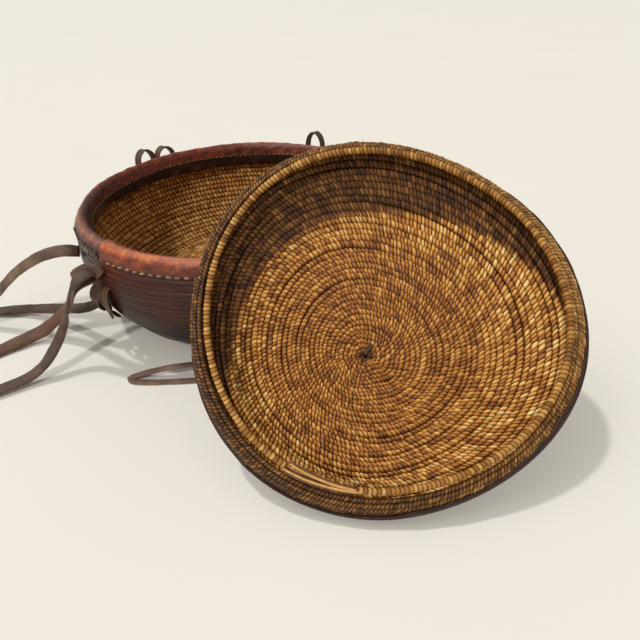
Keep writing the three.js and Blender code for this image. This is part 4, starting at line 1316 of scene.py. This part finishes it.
# Lid rim. The last, thicker course, painted paler on its left side as painted light. Its binding has gone
# along a short stretch at the front, where the bare straws of the core stand out.
BREAK_FROM = math.radians(-121)
BREAK_TO = math.radians(-98)
RIM_STITCH = 0.0026
RIM_SLANT = 0.35
RIM_SWELL = np.array([0.84, 0.95, 1.0, 1.0, 1.0, 0.95])
RIM_GAP_SWELL = 0.8
RIM_SPREAD = 0.05
RIM_WAVY = 0.0003
RIM_PAINTED_LIGHT_LEFT = 0.10
RIM_SECTION = np.radians(np.arange(12) * 30.0)
rim_arc = 2 * math.pi + BREAK_FROM - BREAK_TO
RIM_TONES = ("#5c3812", "#82521c", "#a26c2b", "#bd8940", "#d8aa60")
rim_straw = straw_finish("rim_bound_straw", RIM_TONES, "#34200a", -0.1)


def rim_course():
    """The last course of the coil, a ring that is open at the break."""
    rng = np.random.default_rng(97)
    count = int(LID_RIM_RADIUS * rim_arc / RIM_STITCH)
    share = np.tile(STITCH_SHARES, count)
    which = np.repeat(np.arange(count), len(STITCH_SHARES))
    half = LID_RIM_COIL / 2
    place = (which + share) / count * rim_arc + BREAK_TO
    slip = RIM_SLANT * half * np.sin(RIM_SECTION) / LID_RIM_RADIUS
    turn = place[:, None] + slip[None]
    size = rng.normal(1, RIM_SPREAD, count)
    swell = np.tile(RIM_SWELL, count) * size[which]
    wide = LID_RIM_RADIUS + half * np.cos(RIM_SECTION)[None] * swell[:, None]
    tall = half * np.sin(RIM_SECTION)[None] * swell[:, None] - half
    tall = tall + RIM_WAVY * waves(turn, 0 * turn, 98, 9, 1.0)
    points = np.stack([wide * np.cos(turn), wide * np.sin(turn), tall], -1)
    crest = np.tile((RIM_SWELL - RIM_GAP_SWELL) / (1 - RIM_GAP_SWELL), count)[:, None]
    # The rim's tone is raised on its left: painted light.
    tone = rng.uniform(0, 1, count)[which] - RIM_PAINTED_LIGHT_LEFT * np.cos(place)
    strand = (which + share)[:, None] + 0 * turn
    tones = np.stack(np.broadcast_arrays(tone[:, None], crest, strand), -1)
    lie = np.stack(np.broadcast_arrays(RIM_SECTION[None] / np.pi, 0 * turn, turn), -1)
    return points, tones.reshape(-1, 3), lie.reshape(-1, 3)


rim_coil = add_coil("lid_rim_course", rim_course(), warp_lid, rim_straw, "lid")
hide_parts("lid_rim_coil")

STRAW_THICK = 0.0017
STRAW_STEPS = 16
STRAW_TAPER = 0.3
FIBRE_DEEP = 0.0003
MILLIMETRE = 0.001
# Each straw's place outward and upward in millimetres at both ends, the shares of the break where it starts
# and ends, and how pale it is. The dark straws are painted shade, standing for the shaded gap among the pale
# ones.
STRAW_ROWS = [
    (-3.4, -0.9, 1.0, 0.9, 0.03, 0.95, 0.15), (-2.1, 0.2, 1.5, 1.3, 0.05, 0.99, 1.0),
    (2.3, 0.9, 0.5, 0.9, 0.0, 1.08, 1.0), (3.5, 1.7, -0.3, 0.2, 0.02, 1.0, 0.1),
    (1.1, -0.2, -1.2, -0.6, 0.04, 0.98, 0.0), (-0.2, 0.5, -1.9, -1.6, 0.0, 1.0, 0.8),
]


def bare_straw_finish():
    finish = Finish("bare_straw")
    run, over, pale = finish.parts("strip")
    place = finish.place()
    fibre = finish.noise(finish.stretched(run * 0.1, over * 5, 0.0), 2.0, 3)
    tone = finish.noise(place, 300, 2)
    colour = finish.ramp(
        fibre * 0.5 + tone * 0.45 + pale * 0.5 - 0.3,
        [(0.1, "#241307"), (0.35, "#7e4e1e"), (0.55, "#b87f38"), (0.8, "#e2b060")],
    )
    return finish.surface(colour, 0.42, Normal=finish.bump(fibre, FIBRE_DEEP, 0.5))


rng = np.random.default_rng(99)
straws = []
for out_first, out_last, up_first, up_last, start, end, pale in STRAW_ROWS:
    share = np.linspace(0, 1, STRAW_STEPS)
    turn = BREAK_FROM + (BREAK_TO - BREAK_FROM) * (start + (end - start) * share)
    radius = LID_RIM_RADIUS + MILLIMETRE * (out_first + (out_last - out_first) * share)
    tall = -LID_RIM_COIL / 2 + MILLIMETRE * (up_first + (up_last - up_first) * share)
    local = np.stack([radius * np.cos(turn), radius * np.sin(turn), tall], -1)
    thick = STRAW_THICK / 2 * rng.uniform(0.85, 1.05) * (1 - STRAW_TAPER * (1 - share) ** 4)
    straw_points, straw_tones = tube_mesh(warp_lid(local), thick)
    straws.append((straw_points, straw_tones * (1, 1, 0) + (0, 0, pale)))
bare_straws = add_threads("lid_bare_straws", straws, bare_straw_finish(), "lid")
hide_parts(*[f"lid_broken_straw_{i + 1}" for i in range(6)])


# Lid cover. Thin hide put on wet and shrunk over the lid's back, so that the coils show through as
# fine ribs. It is cut off unevenly below the bare collar.
COVER_COLUMNS = 340
EDGE_DEPTH = 0.013
EDGE_SWING = 0.004
EDGE_DEEPEST = math.radians(160)
EDGE_RISE = 0.0026
EDGE_RISE_TURN = 325
EDGE_RISE_WIDE = 45
EDGE_WAVY = 0.0005
EDGE_RAGGED = 0.0003
EDGE_CLEAR = 0.001
COVER_CENTRE = 0.0006
COVER_PITCH = 0.0038
COVER_RIB = 0.00045
COVER_RIB_FROM = 0.01
COVER_LOOSE = 0.0004
COVER_LOOSE_FROM = 0.03
COVER_SINK = 0.0006
COVER_INNER_STEP = 5


def cover_line(inset):
    line = lid_line(inset, COLLAR_TURN)
    line[0, 0] = COVER_CENTRE
    return line


def cover_reach(line, angle):
    """How far along the outline the hide is cut off, unevenly, beside the bare collar."""
    depth = EDGE_DEPTH + EDGE_SWING * np.cos(angle - EDGE_DEEPEST)
    depth = depth - EDGE_RISE * np.exp(-((np.degrees(angle) % 360 - EDGE_RISE_TURN) / EDGE_RISE_WIDE) ** 2)
    depth = depth + EDGE_WAVY * waves(angle, 0 * angle, 113, 9, 1.0)
    depth = depth + EDGE_RAGGED * waves(angle, 0 * angle, 114, 60, 1.0)
    rising = line.points[:, 1] > line.points[0, 1] + EDGE_CLEAR
    return np.interp(-depth, line.points[rising, 1], line.run[rising])


def cover_relief(angle, distance):
    size = COVER_RIB * np.clip(distance / COVER_RIB_FROM, 0, 1)
    loose = COVER_LOOSE * waves(angle, distance, 112, 6, 0.06) * np.clip(distance / COVER_LOOSE_FROM, 0, 1)
    return ribs(angle, distance, COVER_PITCH, size, 111) + loose - COVER_SINK


cover_outer = Outline(cover_line(-GAP - LEATHER))
cover_inner = Outline(cover_line(-GAP)[::COVER_INNER_STEP])
shell = turned_mesh(cover_outer, cover_inner, COVER_COLUMNS, cover_relief, warp_lid, reach=cover_reach)
lid_hide = hide_finish("lid_ribbed_hide", "#1f0f0a", "#452216", "#6b3a27", "#9a5f3a", 0.8, 0.42)
cover = add_shell("lid_cover_hide", shell, lid_hide, "lid")
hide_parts("lid_leather_cover")


# Centre knot. The lid's spiral starts round a small dark hole, and a stub of bark, the end of the
# first coil, is left standing in it.
KNOT_WIDE = 0.0016
KNOT_TAPER = 0.35
KNOT_STEP = 0.0006
KNOT_SIDES = 10
KNOT_ROUTE = [
    (0.0, 0.0, -0.0300), (0.0003, -0.0003, -0.0285), (0.0014, -0.0006, -0.0272), (0.0028, -0.0008, -0.0262),
]
path, _, _ = smooth_path(KNOT_ROUTE, [0, 0], KNOT_STEP)
thick = KNOT_WIDE * (1 - KNOT_TAPER * np.linspace(0, 1, len(path)) ** 2)
knot_points, knot_tones = tube_mesh(path, thick, KNOT_SIDES)
knot = add_threads("lid_knot", [(warp_lid(knot_points), knot_tones)], thong_dark, "lid")
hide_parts("lid_centre_knot")
